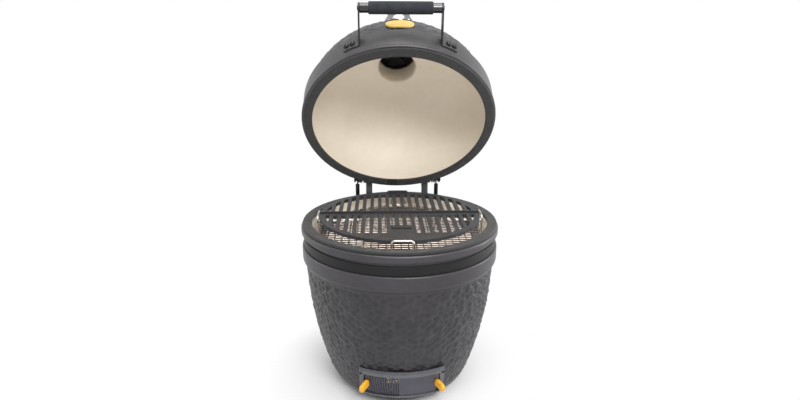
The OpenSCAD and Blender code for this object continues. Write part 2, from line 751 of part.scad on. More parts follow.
module rear_grate() color([0.25, 0.24, 0.24]) {
  translate([0, 0, grate_z]) linear_extrude(grate_t) rotate(180) half_grate(rear_slot_end, rear_slot_end);
  intersection() {
    translate([0, 0, grate_z]) rotate_extrude($fn = 180)
      block2([grate_r - 9, grate_t - 1], [grate_r - 0.5, grate_t + tab_rise]);
    translate([0, grate_r, grate_z + grate_t - 1]) rotate([90, 0, 0]) linear_extrude(grate_r) {
      block2([-tab_half, 0], [tab_half, tab_rise + 1 - tab_round]);
      block2([-tab_half + tab_round, 0], [tab_half - tab_round, tab_rise + 1]);
      for (s = [-1, 1]) translate([s * (tab_half - tab_round), tab_rise + 1 - tab_round])
        circle(tab_round);
    }
  }
}

// Pieces of the lid, drawn on the closed lid plane

module lid_section() {
  round_edge([0, lid_felt], [rim_r, lid_lip_z], min(lip_round, lid_lip_h / 2 - 0.5));
  block2([0, lid_felt], [seat_r, lid_band_top]);
  intersection() {
    translate([0, dome_z]) circle(dome_r, $fn = 240);
    block2([0, lid_band_top - 1], [big, big]);
  }
  block2([0, dome_z], [neck_r, neck_z]);
  intersection() {
    translate([neck_r, dome_z + dome_r - 8]) circle(14);
    block2([0, lid_band_top], [big, neck_z - 2]);
  }
}

module lid_shell() color([0.3, 0.3, 0.31]) on_open_lid() difference() {
  rotate_extrude($fn = 180) lid_section();
  rotate_extrude($fn = 180) {
    block2([0, -1], [mouth_r, bowl_z]);
    intersection() {
      translate([0, bowl_z]) circle(mouth_r, $fn = 240);
      block2([0, bowl_z - 1], [big, big]);
    }
    block2([0, 0], [chimney_r, big]);
  }
  on_dome(thermo_at) translate([0, 0, -big / 10]) cylinder(r = stem_r + fit, h = big / 8);
}

module lid_gasket() color([0.4, 0.4, 0.4]) on_open_lid() translate([0, 0, lid_felt]) mirror([0, 0, 1])
  rotate_extrude($fn = 180) round_edge([mouth_r, 0], [felt_r, lid_felt], 2.5);

module lid_band() color([0.3, 0.3, 0.31]) on_open_lid() difference() {
  rotate_extrude($fn = 180) block2([seat_r + fit, lid_band_z], [lid_band_r, lid_band_top - 1]);
  for (b = lid_bolt_bearings) radial_hole(b, lid_band_r, lid_bolt_z, 2 * band_t);
  for (b = handle_bolt_bearings) radial_hole(b, lid_band_r, foot_z + foot_h / 2, 2 * band_t);
}

module hinge_lid_bracket() color([0.16, 0.16, 0.17]) on_open_lid() difference() {
  union() {
    drum_sheet(lid_band_r + fit, bracket_t, lid_bracket_low, lid_bracket_h,
      90 - lid_plate_sweep / 2, lid_plate_sweep);
    for (s = [-1, 1]) {
      x = s > 0 ? lid_arm_x : -lid_arm_x - arm_t;
      translate([x, 0, hinge_up]) rotate([0, 90, 0]) linear_extrude(arm_t) {
        translate([0, hinge_y]) circle(eye_r);
        block2([-eye_r, 0], [eye_r, hinge_y]);
      }
    }
  }
  translate([0, 0, -big / 2]) cylinder(r = lid_band_r + fit, h = big, $fn = 180);
  cylinder(r = rim_r + 1, h = lid_lip_z + 1, $fn = 180);
  translate([0, hinge_y, hinge_up]) rotate([0, 90, 0]) cylinder(r = pin_r + run, h = big, center = true);
  for (b = lid_bolt_bearings) radial_hole(b, lid_band_r + bracket_t, lid_bolt_z, 2 * bracket_t);
}

module hinge_lid_bolts() color([0.1, 0.1, 0.1]) on_open_lid()
  for (b = lid_bolt_bearings)
    radial_bolt(b, lid_band_r + bracket_t + 2 * fit, lid_bolt_z, bracket_t + band_t);

// One flat arm of the handle with the foot that is bolted to the band
module handle_arm() {
  foot_mid = foot_z + foot_h / 2;
  reach = [-handle_y + arm_y, handle_z - foot_mid];
  lean = atan2(reach.y, reach.x);
  difference() {
    union() {
      drum_sheet(foot_r, strip_t, foot_z, foot_h, 270 + arm_from, foot_sweep);
      translate([handle_half - strip_t, 0, 0]) rotate([90, 0, 90]) linear_extrude(strip_t) {
        translate([-handle_y, handle_z]) circle(strip_w / 2);
        difference() {
          translate([-arm_y, foot_mid]) rotate(lean)
            block2([-20, -strip_w / 2], [norm(reach), strip_w / 2]);
          block2([-big, -big], [big, foot_z]);
        }
      }
    }
    cylinder(r = foot_r, h = big, $fn = 180);
    translate([0, -handle_y, handle_z]) rotate([0, 90, 0]) cylinder(r = bolt_r + fit, h = big);
    for (b = handle_bolt_bearings) radial_hole(b, foot_r + strip_t, foot_mid, 2 * strip_t);
  }
}

module handle_arm_right() color([0.1, 0.1, 0.1]) on_open_lid() handle_arm();
module handle_arm_left() color([0.1, 0.1, 0.1]) on_open_lid() mirror([1, 0, 0]) handle_arm();

module handle_tube() color([0.08, 0.08, 0.08]) on_open_lid() translate([0, -handle_y, handle_z])
  rotate([0, 90, 0]) difference() {
    cylinder(r = tube_r, h = 2 * tube_half, center = true);
    for (s = [-1, 1]) translate([0, 0, s * tube_half]) cylinder(r = bolt_r + fit, h = 40, center = true);
  }

module handle_grip() color([0.25, 0.26, 0.28]) on_open_lid() translate([0, -handle_y, handle_z])
  rotate([0, 90, 0]) rotate_extrude() difference() {
    union() {
      block2([0, -grip_half], [grip_r - grip_round, grip_half]);
      block2([0, -grip_half + grip_round], [grip_r, grip_half - grip_round]);
      for (s = [-1, 1]) translate([grip_r - grip_round, s * (grip_half - grip_round)])
        circle(grip_round);
    }
    block2([-1, -big], [tube_r + fit, big]);
  }

module handle_bolts() color([0.06, 0.06, 0.06]) on_open_lid() for (b = handle_bolt_bearings)
  radial_bolt(b, foot_r + strip_t + fit, foot_z + foot_h / 2, strip_t + band_t, dome_nut_r, dome_nut_h);

module handle_end_screws() color([0.06, 0.06, 0.06]) on_open_lid() for (s = [-1, 1])
  translate([s * (handle_half + fit), -handle_y, handle_z]) rotate([0, s * 90, 0]) {
    cylinder(r = 2 * bolt_r, h = end_head);
    translate([0, 0, -18]) cylinder(r = bolt_r, h = 18.1);
  }

module lid_badge() color([0.96, 0.83, 0.55]) on_open_lid() on_dome(badge_at) intersection() {
  translate([0, 0, -dome_r]) difference() {
    sphere(dome_r + fit + badge_t, $fn = 240);
    sphere(dome_r + fit, $fn = 240);
  }
  translate([0, 0, -20]) linear_extrude(40) stadium(badge_w, badge_h);
}

// Thermometer

module thermometer_foot() color([0.12, 0.12, 0.12]) on_open_lid() on_dome(thermo_at) difference() {
  translate([0, 0, -6]) cylinder(r1 = case_r + 8, r2 = case_r + 1, h = case_foot + 6);
  translate([0, 0, -dome_r]) sphere(dome_r + fit, $fn = 240);
  translate([0, 0, -8]) cylinder(r = stem_r + fit, h = 40);
}

module thermometer_case() color([0.85, 0.85, 0.85]) on_open_lid() on_dome(thermo_at) difference() {
  translate([0, 0, case_foot + fit]) rotate_extrude() round_edge([0, 0], [case_r, case_h], 2);
  translate([0, 0, dial_z]) cylinder(r = case_r - 3, h = case_h);
  translate([0, 0, 0]) cylinder(r = stem_r + fit, h = 60);
}

module thermometer_dial() color([0.95, 0.95, 0.93]) on_open_lid() on_dome(thermo_at)
  translate([0, 0, dial_z + fit]) difference() {
    cylinder(r = case_r - 3 - fit, h = 1);
    translate([0, 0, -1]) cylinder(r = stem_r + fit, h = 3);
  }

// The needle turns on the stem's end
module thermometer_pointer() color([0.75, 0.1, 0.08]) on_open_lid() on_dome(thermo_at)
  translate([0, 0, dial_z + 2]) rotate([0, 0, 225]) difference() {
    linear_extrude(1) {
      circle(stem_r + 1.5);
      block2([-6, -1], [case_r - 8, 1]);
    }
    translate([0, 0, -1]) cylinder(r = stem_r - 1 + run, h = 4);
  }

module thermometer_lens() color([0.9, 0.95, 1, 0.4]) on_open_lid() on_dome(thermo_at)
  translate([0, 0, case_foot + fit + case_h - 1 - lens_t]) cylinder(r = case_r - 3 - fit, h = lens_t);

module thermometer_stem() color([0.8, 0.8, 0.8]) on_open_lid() on_dome(thermo_at) {
  translate([0, 0, -bowl_depth - stem_reach])
    cylinder(r = stem_r, h = bowl_depth + stem_reach + dial_z + 1.5);
  translate([0, 0, dial_z + 1]) cylinder(r = stem_r - 1, h = 2.5);
  translate([0, 0, -bowl_depth - 7]) cylinder(r = 2.4 * stem_r, h = 6, $fn = 6);
}

// Top vent

// Sector openings of a vent plate, turned by an angle
module vent_openings(z, turn) {
  for (i = [0:vent_gaps - 1]) rotate_extrude(angle = gap_sweep, start = turn + i * 360 / vent_gaps)
    block2([16, z - 1], [chimney_r - 9, z + vent_t + 1]);
}

module vent_base() color([0.12, 0.12, 0.12]) on_open_lid() difference() {
  union() {
    rotate_extrude() {
      round_edge([chimney_r - 6, vent_z], [vent_r, vent_z + vent_t + 1], 2);
      block2([chimney_r - 6, vent_z - spigot_h], [chimney_r - glide, vent_z + 1]);
    }
    translate([0, 0, vent_z + vent_t]) cylinder(r = chimney_r, h = vent_t);
  }
  vent_openings(vent_z + vent_t, 0);
  cylinder(r = pivot_r + run, h = big);
}

module vent_wheel() color([0.1, 0.1, 0.1]) on_open_lid() difference() {
  union() {
    translate([0, 0, wheel_z]) rotate_extrude() round_edge([0, 0], [chimney_r - 1, vent_t], 2);
    translate([0, -chimney_r + 10, wheel_z]) {
      cylinder(r1 = 7, r2 = 5, h = knob_h);
      translate([0, 0, knob_h]) sphere(7);
    }
  }
  vent_openings(wheel_z, 180 / vent_gaps);
  cylinder(r = pivot_r + run, h = big);
}

module vent_pivot() color([0.7, 0.7, 0.7]) on_open_lid() {
  translate([0, 0, vent_z + vent_t - 6]) cylinder(r = pivot_r, h = wheel_z - vent_z + 8);
  translate([0, 0, vent_z + vent_t - 6 - 5]) cylinder(r = 2 * pivot_r, h = 5 + 6 - fit, $fn = 6);
  translate([0, 0, wheel_z + vent_t + glide]) cylinder(r = 2 * pivot_r, h = 5, $fn = 6);
}

base_shell();
base_gasket();
base_band();
fire_box();
fire_ring();
charcoal_grate();
hinge_base_bracket();
hinge_base_bolts();
hinge_pin();
hinge_pin_nut();
hinge_spring_left();
hinge_spring_right();
draft_frame();
draft_frame_screws();
draft_door();
draft_door_tab();
ash_screen();
ash_screen_tab();
rack_frame();
wire_grid();
front_grate();
rear_grate();
lid_shell();
lid_gasket();
lid_band();
hinge_lid_bracket();
hinge_lid_bolts();
handle_arm_left();
handle_arm_right();
handle_tube();
handle_grip();
handle_bolts();
handle_end_screws();
lid_badge();
thermometer_foot();
thermometer_case();
thermometer_dial();
thermometer_pointer();
thermometer_lens();
thermometer_stem();
vent_base();
vent_wheel();
vent_pivot();
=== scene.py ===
import math

import bmesh
import bpy
import numpy as np
from mathutils import Matrix, Vector


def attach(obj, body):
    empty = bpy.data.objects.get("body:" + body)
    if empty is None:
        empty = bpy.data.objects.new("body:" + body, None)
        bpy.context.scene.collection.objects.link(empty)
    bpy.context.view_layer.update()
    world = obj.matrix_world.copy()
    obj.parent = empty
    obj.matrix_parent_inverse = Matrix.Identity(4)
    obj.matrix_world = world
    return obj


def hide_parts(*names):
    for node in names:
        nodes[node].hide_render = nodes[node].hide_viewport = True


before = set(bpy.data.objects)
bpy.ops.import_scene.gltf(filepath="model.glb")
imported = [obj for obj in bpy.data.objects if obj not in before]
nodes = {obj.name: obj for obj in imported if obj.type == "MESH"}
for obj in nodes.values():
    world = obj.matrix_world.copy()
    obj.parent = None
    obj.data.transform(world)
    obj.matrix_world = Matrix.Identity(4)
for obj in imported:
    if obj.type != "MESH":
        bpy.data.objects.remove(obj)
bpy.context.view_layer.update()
scene = bpy.context.scene
tau = 2 * math.pi

# Camera first: it stands in front, above the rim and a little to the left, as in the photograph
photoCamera = {
    "place": (-0.056, -1.599, 1.006),
    "turn": math.radians(2.03),
    "pitch": math.radians(16.47),
    "roll": math.radians(0.2),
    "lens": 26.82,
    "sensor": 36.0,
}
cameraData = bpy.data.cameras.new("photoCamera")
cameraData.lens = photoCamera["lens"]
cameraData.sensor_width = photoCamera["sensor"]
camera = bpy.data.objects.new("photoCamera", cameraData)
scene.collection.objects.link(camera)
aim = Vector((
    math.sin(photoCamera["turn"]) * math.cos(photoCamera["pitch"]),
    math.cos(photoCamera["turn"]) * math.cos(photoCamera["pitch"]),
    -math.sin(photoCamera["pitch"]),
))
look = aim.to_track_quat("-Z", "Y").to_matrix().to_4x4()
rolled = Matrix.Rotation(photoCamera["roll"], 4, "Z")
camera.matrix_world = Matrix.Translation(photoCamera["place"]) @ look @ rolled
scene.camera = camera
scene.view_settings.view_transform = "Standard"
print("camera set")

# Where the lid is: drawn shut, on the plane of its gasket, then turned back about the hinge pin
lidPlace = {"hingeY": 0.285, "hingeZ": 0.520, "plane": 0.4805, "open": math.radians(54)}


def openLid(points):
    # turn about the pin: y and z, counted from the pin, are mixed by the cosine and sine of the angle
    c = math.cos(lidPlace["open"])
    s = math.sin(lidPlace["open"])
    out = np.array(points, dtype=float)
    y = out[..., 1] - lidPlace["hingeY"]
    z = out[..., 2] + lidPlace["plane"] - lidPlace["hingeZ"]
    out[..., 1] = lidPlace["hingeY"] + y * c + z * s
    out[..., 2] = lidPlace["hingeZ"] - y * s + z * c
    return out


# Mesh tools

def stacked(*parts):
    # numbers and arrays are spread to one shape and become the coordinates of points
    return np.stack(np.broadcast_arrays(*parts), axis=-1)


def mergeMesh(mesh, reach, flat=0.0):
    # corners closer than reach become one, and faces that differ by less than flat degrees are joined
    bm = bmesh.new()
    bm.from_mesh(mesh)
    bmesh.ops.remove_doubles(bm, verts=bm.verts, dist=reach)
    if flat > 0:
        bmesh.ops.dissolve_limit(bm, angle_limit=math.radians(flat), verts=bm.verts, edges=bm.edges)
    bm.to_mesh(mesh)
    bm.free()


def linkPiece(name, mesh, sharp):
    mesh.polygons.foreach_set("use_smooth", np.ones(len(mesh.polygons), dtype=bool))
    mesh.set_sharp_from_angle(angle=math.radians(sharp))
    piece = bpy.data.objects.new(name, mesh)
    scene.collection.objects.link(piece)
    return piece


def gridQuads(rows, cols, closeRows=False):
    # a quad joins two neighbours of a closed row to the same two of the next row
    a, b = np.meshgrid(np.arange(rows if closeRows else rows - 1), np.arange(cols), indexing="ij")
    a2 = (a + 1) % rows
    b2 = (b + 1) % cols
    return stacked(a * cols + b, a * cols + b2, a2 * cols + b2, a2 * cols + b).reshape(-1, 4)


def makePiece(name, points, quads, looks, lookOf=None, sharp=38.0, weld=False, hollow=None):
    points = np.asarray(points, dtype=np.float32).reshape(-1, 3)
    mesh = bpy.data.meshes.new(name)
    mesh.vertices.add(len(points))
    mesh.vertices.foreach_set("co", points.ravel())
    mesh.loops.add(quads.size)
    mesh.loops.foreach_set("vertex_index", quads.astype(np.int32).ravel())
    mesh.polygons.add(len(quads))
    mesh.polygons.foreach_set("loop_start", np.arange(len(quads), dtype=np.int32) * 4)
    mesh.update(calc_edges=True)
    for one in looks:
        mesh.materials.append(one)
    if lookOf is not None:
        mesh.polygons.foreach_set("material_index", lookOf.astype(np.int32))
    if hollow is not None:
        mesh.attributes.new("hollow", "FLOAT", "POINT").data.foreach_set(
            "value", np.asarray(hollow, dtype=np.float32).ravel())
    if weld:
        mergeMesh(mesh, 2e-6)
    return linkPiece(name, mesh, sharp)


def settle(piece, body, slotName, *stoodFor):
    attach(piece, body)
    if stoodFor:
        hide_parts(*stoodFor)
    return piece


def roundPath(corners, steps=5):
    # each corner, its place followed by its cut, becomes the parabola between two points that lie the cut
    # away along its sides
    table = np.array(corners, dtype=float)
    pts = table[:, :-1]
    cut = table[:, -1]
    before = np.roll(pts, 1, axis=0) - pts
    after = np.roll(pts, -1, axis=0) - pts
    start = (pts + unit(before) * cut[:, None])[:, None, :]
    end = (pts + unit(after) * cut[:, None])[:, None, :]
    s = np.linspace(0, 1, steps)[None, :, None]
    curve = (1 - s) ** 2 * start + 2 * s * (1 - s) * pts[:, None, :] + s ** 2 * end
    return np.concatenate([curve[i] if cut[i] > 0 else pts[i:i + 1] for i in range(len(pts))])


def arcPath(centre, radius, angles):
    # a point of an arc is its centre + radius (cos angle, sin angle)
    return stacked(centre[0] + radius * np.cos(angles), centre[1] + radius * np.sin(angles))


def lathe(profile, cols):
    # a profile point (r, z) is carried round the upright axis: x = r cos a, y = r sin a
    a = np.arange(cols) * tau / cols
    r, z = profile.T[:, :, None]
    return stacked(r * np.cos(a), r * np.sin(a), z)


def turnAbout(points, bearing):
    # turn about the upright axis: x and y are mixed by the cosine and sine of the bearing
    c = math.cos(bearing)
    s = math.sin(bearing)
    x, y, z = np.moveaxis(points, -1, 0)
    return stacked(x * c - y * s, x * s + y * c, z)


def unit(v):
    return v / np.maximum(np.linalg.norm(v, axis=-1, keepdims=True), 1e-12)


def ringOffsets(radius, sides, along, ref):
    # a ring square to its path: radius (cos t side + sin t up), with side and up square to the path
    side = unit(np.cross(along, ref))
    up = np.cross(along, side)
    t = (np.arange(sides) * tau / sides)[None, :, None]
    return radius * (np.cos(t) * side[:, None, :] + np.sin(t) * up[:, None, :])


def sweepTube(path, radius, sides, ref, closed=False):
    # rings stand along the path; the ends of an open tube shrink to their centres
    if closed:
        along = unit(np.roll(path, -1, axis=0) - np.roll(path, 1, axis=0))
    else:
        along = unit(np.gradient(path, axis=0))
    ref = np.broadcast_to(np.asarray(ref, dtype=float), path.shape)
    rings = path[:, None, :] + ringOffsets(radius, sides, along, ref)
    if not closed:
        tips = np.repeat(path[[0, -1], None, :], sides, axis=1)
        rings = np.concatenate([tips[:1], rings, tips[1:]])
    return rings, gridQuads(len(rings), sides, closeRows=closed)


def rodField(a, b, radius, sides):
    # many level rods at once: two rings each, and both ends shrink to their centres
    ring = ringOffsets(radius, sides, unit(b - a), np.array([0, 0, 1.0]))
    quads = gridQuads(4, sides)[None] + (np.arange(len(a)) * 4 * sides)[:, None, None]
    a = a[:, None, :]
    b = b[:, None, :]
    rows = np.stack(np.broadcast_arrays(a, a + ring, b + ring, b), axis=1)
    return rows.reshape(-1, 3), quads.reshape(-1, 4)


def joinShapes(*shapes):
    # stacks several (points, quads) pairs into one
    pts = []
    quads = []
    count = 0
    for p, q in shapes:
        p = np.asarray(p).reshape(-1, 3)
        pts.append(p)
        quads.append(q + count)
        count += len(p)
    return np.concatenate(pts), np.concatenate(quads)


def evenNoise(seed, shape, waves, size):
    # smooth noise that closes round the ring: a sum of waves with whole numbers of turns and seeded phases
    rng = np.random.default_rng(seed)
    v = np.linspace(0, 1, shape[0])[:, None]
    u = np.linspace(0, tau, shape[1], endpoint=False)[None, :]
    out = np.zeros(shape)
    for wave in range(waves):
        turns = rng.integers(2, size)
        out += np.sin(turns * u + rng.uniform(0, tau) + rng.uniform(-9, 9) * v)
    return out / waves


def finishedCopy(nodeName, finish, body, slotName, edge, segments=2):
    # a merged copy of a CAD node with its coplanar triangles joined and its sharp edges rounded off; the
    # piece has the node's name, with capitals in place of the underscores
    first, *rest = nodeName.split("_")
    pieceName = first + "".join(word.title() for word in rest)
    sharp = 30.0
    mesh = nodes[nodeName].data.copy()
    mesh.name = pieceName
    mergeMesh(mesh, 4e-6, flat=0.6)
    mesh.materials.clear()
    mesh.materials.append(finish)
    mesh.polygons.foreach_set("material_index", np.zeros(len(mesh.polygons), dtype=np.int32))
    piece = linkPiece(pieceName, mesh, sharp)
    if edge > 0:
        rounding = piece.modifiers.new("softEdges", "BEVEL")
        rounding.width = edge
        rounding.segments = segments
        rounding.limit_method = "ANGLE"
        rounding.angle_limit = math.radians(sharp)
    return settle(piece, body, slotName, nodeName)


# Finishes

def tint(r, g, b):
    # a colour as a screen shows it, from 0 to 255, made linear
    c = np.array([r, g, b]) / 255
    lin = np.where(c <= 0.04045, c / 12.92, ((c + 0.055) / 1.055) ** 2.4)
    return (float(lin[0]), float(lin[1]), float(lin[2]), 1.0)


def feed(tree, node, inputs):
    # an input takes a value, or a link where it is given another node's output
    for socket, value in inputs.items():
        if isinstance(value, bpy.types.NodeSocket):
            tree.links.new(value, node.inputs[socket])
        else:
            node.inputs[socket].default_value = value


def addNode(tree, kind, inputs=None, out=0, **settings):
    # a new node with its settings and inputs, which hands on one of its outputs
    node = tree.nodes.new("ShaderNode" + kind)
    for key, value in settings.items():
        setattr(node, key, value)
    feed(tree, node, inputs or {})
    return node.outputs[out]


def newGroup(name, inputs, outputs):
    # a node group whose sockets are given by name and kind; it hands on what comes in and the closing node
    group = bpy.data.node_groups.new(name, "ShaderNodeTree")
    for way, sockets in (("INPUT", inputs), ("OUTPUT", outputs)):
        for label, kind in sockets.items():
            group.interface.new_socket(label, in_out=way, socket_type="NodeSocket" + kind)
    return group, group.nodes.new("NodeGroupInput").outputs, group.nodes.new("NodeGroupOutput")


def mottleGroup():
    # two cloudy noises, one nine times as fine and 0.4 as strong as the other, blend two colours
    group, given, end = newGroup("mottle", {"Scale": "Float", "First": "Color", "Second": "Color"},
                                 {"Color": "Color"})
    where = addNode(group, "TexCoord", out="Object")
    finer = addNode(group, "Math", {0: given["Scale"], 1: 9.0}, operation="MULTIPLY")
    big = addNode(group, "TexNoise", {"Vector": where, "Scale": given["Scale"]})
    small = addNode(group, "TexNoise", {"Vector": where, "Scale": finer})
    total = addNode(group, "Math", {0: small, 1: 0.4, 2: big}, operation="MULTIPLY_ADD")
    share = addNode(group, "MapRange", {0: total, 1: 0.48, 2: 0.92})
    colour = addNode(group, "Mix", {0: share, 6: given["First"], 7: given["Second"]}, 2, data_type="RGBA")
    feed(group, end, {"Color": colour})
    return group


def grainGroup():
    # fine noise in two strengths: as a value between two limits for roughness, and as a height for bumps
    group, given, end = newGroup("grain", {"Scale": "Float", "Low": "Float", "High": "Float"},
                                 {"Value": "Float", "Height": "Float"})
    where = addNode(group, "TexCoord", out="Object")
    noise = addNode(group, "TexNoise", {"Vector": where, "Scale": given["Scale"], "Detail": 4.0})
    value = addNode(group, "MapRange", {0: noise, 1: 0.3, 2: 0.7, 3: given["Low"], 4: given["High"]})
    feed(group, end, {"Value": value, "Height": noise})
    return group


def speckGroup():
    # small round specks, one in each cell of a cell noise, as a mask
    group, given, end = newGroup("specks", {"Scale": "Float", "Size": "Float"}, {"Mask": "Float"})
    where = addNode(group, "TexCoord", out="Object")
    cells = addNode(group, "TexVoronoi", {"Vector": where, "Scale": given["Scale"]}, "Distance")
    mask = addNode(group, "MapRange", {0: cells, 2: given["Size"], 3: 1.0, 4: 0.0})
    feed(group, end, {"Mask": mask})
    return group


mottle = mottleGroup()
grain = grainGroup()
specks = speckGroup()


def newFinish(name, first, second, cloud, fine, rough, bump, metal=0.0, coat=0.0, coatRough=0.1, sheen=0.0,
              specular=0.5, hollow=0.0, speck=None):
    # clouded colour between two tints, grainy roughness and a grainy bump; hollow darkens the colour where
    # the mesh's hollow attribute is high, which paints shade into the dimples and along the felt's outer
    # foot and darkens the felt's own joint, and speck, a scale, a size and a tint, adds spots
    mat = bpy.data.materials.new(name)
    mat.use_nodes = True
    tree = mat.node_tree
    clouds = {"Scale": cloud, "First": tint(*first), "Second": tint(*second)}
    colour = addNode(tree, "Group", clouds, "Color", node_tree=mottle)
    # painted shade, and the felt's dark joint: the colour is multiplied darker where the hollow attribute is
    # high
    if hollow > 0:
        deep = addNode(tree, "Attribute", out="Fac", attribute_name="hollow")
        dark = (1 - hollow, 1 - hollow, 1 - hollow, 1)
        shade = {0: deep, 6: colour, 7: dark}
        colour = addNode(tree, "Mix", shade, 2, data_type="RGBA", blend_type="MULTIPLY")
    if speck is not None:
        spots = addNode(tree, "Group", {"Scale": speck[0], "Size": speck[1]}, "Mask", node_tree=specks)
        colour = addNode(tree, "Mix", {0: spots, 6: colour, 7: tint(*speck[2])}, 2, data_type="RGBA")
    grains = {"Scale": fine, "Low": rough[0], "High": rough[1]}
    value = addNode(tree, "Group", grains, "Value", node_tree=grain)
    height = value.node.outputs["Height"]
    relief = addNode(tree, "Bump", {"Strength": 1.0, "Distance": bump, "Height": height})
    feed(tree, tree.nodes["Principled BSDF"], {
        "Base Color": colour, "Roughness": value, "Normal": relief, "Metallic": metal,
        "Specular IOR Level": specular, "Coat Weight": coat, "Coat Roughness": coatRough,
        "Sheen Weight": sheen, "Sheen Roughness": 0.5})
    return mat


# glazeGrey's hollow paints shade into the dimples: the deeper a dimple, the darker its glaze
glazeGrey = newFinish("glazeGrey", (49, 46, 49), (59, 56, 61), cloud=9, fine=420, rough=(0.33, 0.44),
                      bump=0.00025, hollow=0.54)
glazeCream = newFinish("glazeCream", (232, 221, 203), (240, 231, 216), cloud=5, fine=260, rough=(0.55, 0.7),
                       bump=0.0001, specular=0.3, speck=(420, 0.09, (176, 152, 122)))
# feltGrey's hollow darkens the felt's own dark joint and paints shade along its outer foot by the lip
feltGrey = newFinish("feltGrey", (56, 55, 55), (65, 64, 64), cloud=120, fine=2600, rough=(0.9, 1.0),
                     bump=0.0003, sheen=0.2, specular=0.1, hollow=0.55)
# bandBlack is the base band's dark paint with painted shade of its recess under the lip added, darker than
# the lid's band of the same steel
bandBlack = newFinish("bandBlack", (20, 19, 20), (26, 25, 27), cloud=12, fine=700, rough=(0.42, 0.54),
                      bump=0.00008, specular=0.3)
bandGrey = newFinish("bandGrey", (56, 55, 56), (66, 65, 67), cloud=10, fine=700, rough=(0.36, 0.48),
                     bump=0.00008)
hingeGrey = newFinish("hingeGrey", (66, 66, 68), (82, 82, 84), cloud=30, fine=600, rough=(0.4, 0.55),
                      bump=0.0001, metal=0.4)
fastenerBlack = newFinish("fastenerBlack", (20, 20, 21), (34, 34, 35), cloud=60, fine=900,
                          rough=(0.3, 0.42), bump=0.00006, metal=0.3)
tubeBlack = newFinish("tubeBlack", (10, 10, 11), (17, 17, 18), cloud=30, fine=500, rough=(0.06, 0.12),
                      bump=0.00001, coat=0.6, coatRough=0.04)
wireSteel = newFinish("wireSteel", (178, 175, 171), (208, 205, 201), cloud=60, fine=900, rough=(0.2, 0.34),
                      bump=0.00003, metal=1.0)
# a darker, duller copy of the rack's steel for the wire grid: painted shade for the wires lying under the
# grates
gridShadedSteel = newFinish("gridShadedSteel", (62, 59, 57), (86, 82, 79), cloud=60, fine=900, rough=(0.4, 0.55),
                     bump=0.00004, metal=0.3)
springBlack = newFinish("springBlack", (22, 22, 23), (40, 39, 39), cloud=80, fine=900, rough=(0.3, 0.45),
                        bump=0.00005, metal=0.7)
sheetGrey = newFinish("sheetGrey", (66, 65, 74), (77, 76, 86), cloud=16, fine=900, rough=(0.36, 0.5),
                      bump=0.00006, metal=0.15)
frameGrey = newFinish("frameGrey", (92, 93, 98), (105, 106, 111), cloud=16, fine=900, rough=(0.36, 0.5),
                      bump=0.00006, metal=0.15)
tabAmber = newFinish("tabAmber", (240, 168, 30), (248, 184, 50), cloud=24, fine=500, rough=(0.28, 0.4),
                     bump=0.00005)
plateAmber = newFinish("plateAmber", (246, 204, 98), (250, 216, 124), cloud=20, fine=1200,
                       rough=(0.42, 0.54), bump=0.00003)
grateIron = newFinish("grateIron", (42, 42, 44), (57, 57, 60), cloud=40, fine=1100, rough=(0.42, 0.62),
                      bump=0.00035, metal=0.15)
ventIron = newFinish("ventIron", (20, 20, 20), (34, 33, 33), cloud=50, fine=1100, rough=(0.5, 0.7),
                     bump=0.0004, metal=0.2)
foamGrey = newFinish("foamGrey", (40, 41, 45), (51, 53, 58), cloud=60, fine=1500, rough=(0.75, 0.95),
                     bump=0.0005, specular=0.25, speck=(1400, 0.16, (34, 35, 38)))
caseBright = newFinish("caseBright", (138, 138, 141), (156, 156, 159), cloud=30, fine=200,
                       rough=(0.14, 0.24), bump=0.00001, metal=1.0)
dialWhite = newFinish("dialWhite", (232, 231, 226), (240, 239, 235), cloud=40, fine=700, rough=(0.4, 0.5),
                      bump=0.00001)
markBlack = newFinish("markBlack", (24, 24, 25), (32, 32, 33), cloud=60, fine=700, rough=(0.45, 0.6),
                      bump=0.00001)
needleRed = newFinish("needleRed", (176, 30, 24), (190, 40, 32), cloud=60, fine=700, rough=(0.3, 0.4),
                      bump=0.00001)
fireClay = newFinish("fireClay", (236, 224, 213), (246, 239, 231), cloud=14, fine=320, rough=(0.75, 0.95),
                     bump=0.0008, speck=(160, 0.14, (150, 126, 98)))
lensGlass = bpy.data.materials.new("lensGlass")
lensGlass.use_nodes = True
lensTree = lensGlass.node_tree
lensGrain = addNode(lensTree, "Group", {"Scale": 120.0, "Low": 0.01, "High": 0.04}, "Value", node_tree=grain)
feed(lensTree, lensTree.nodes["Principled BSDF"], {
    "Base Color": (0.97, 0.98, 0.99, 1), "Transmission Weight": 1.0, "IOR": 1.5, "Roughness": lensGrain})
print("finishes made:", len(bpy.data.materials))

# Hand-pressed dimples: the reach of one in pitches, and the least and most of the full depth that it has

dimpleSpec = {"reach": 0.66, "least": 0.65, "most": 1.15}

# Ceramic base: a dimpled belly under a smooth collar, a recess for the band, a lip, and a cream inside

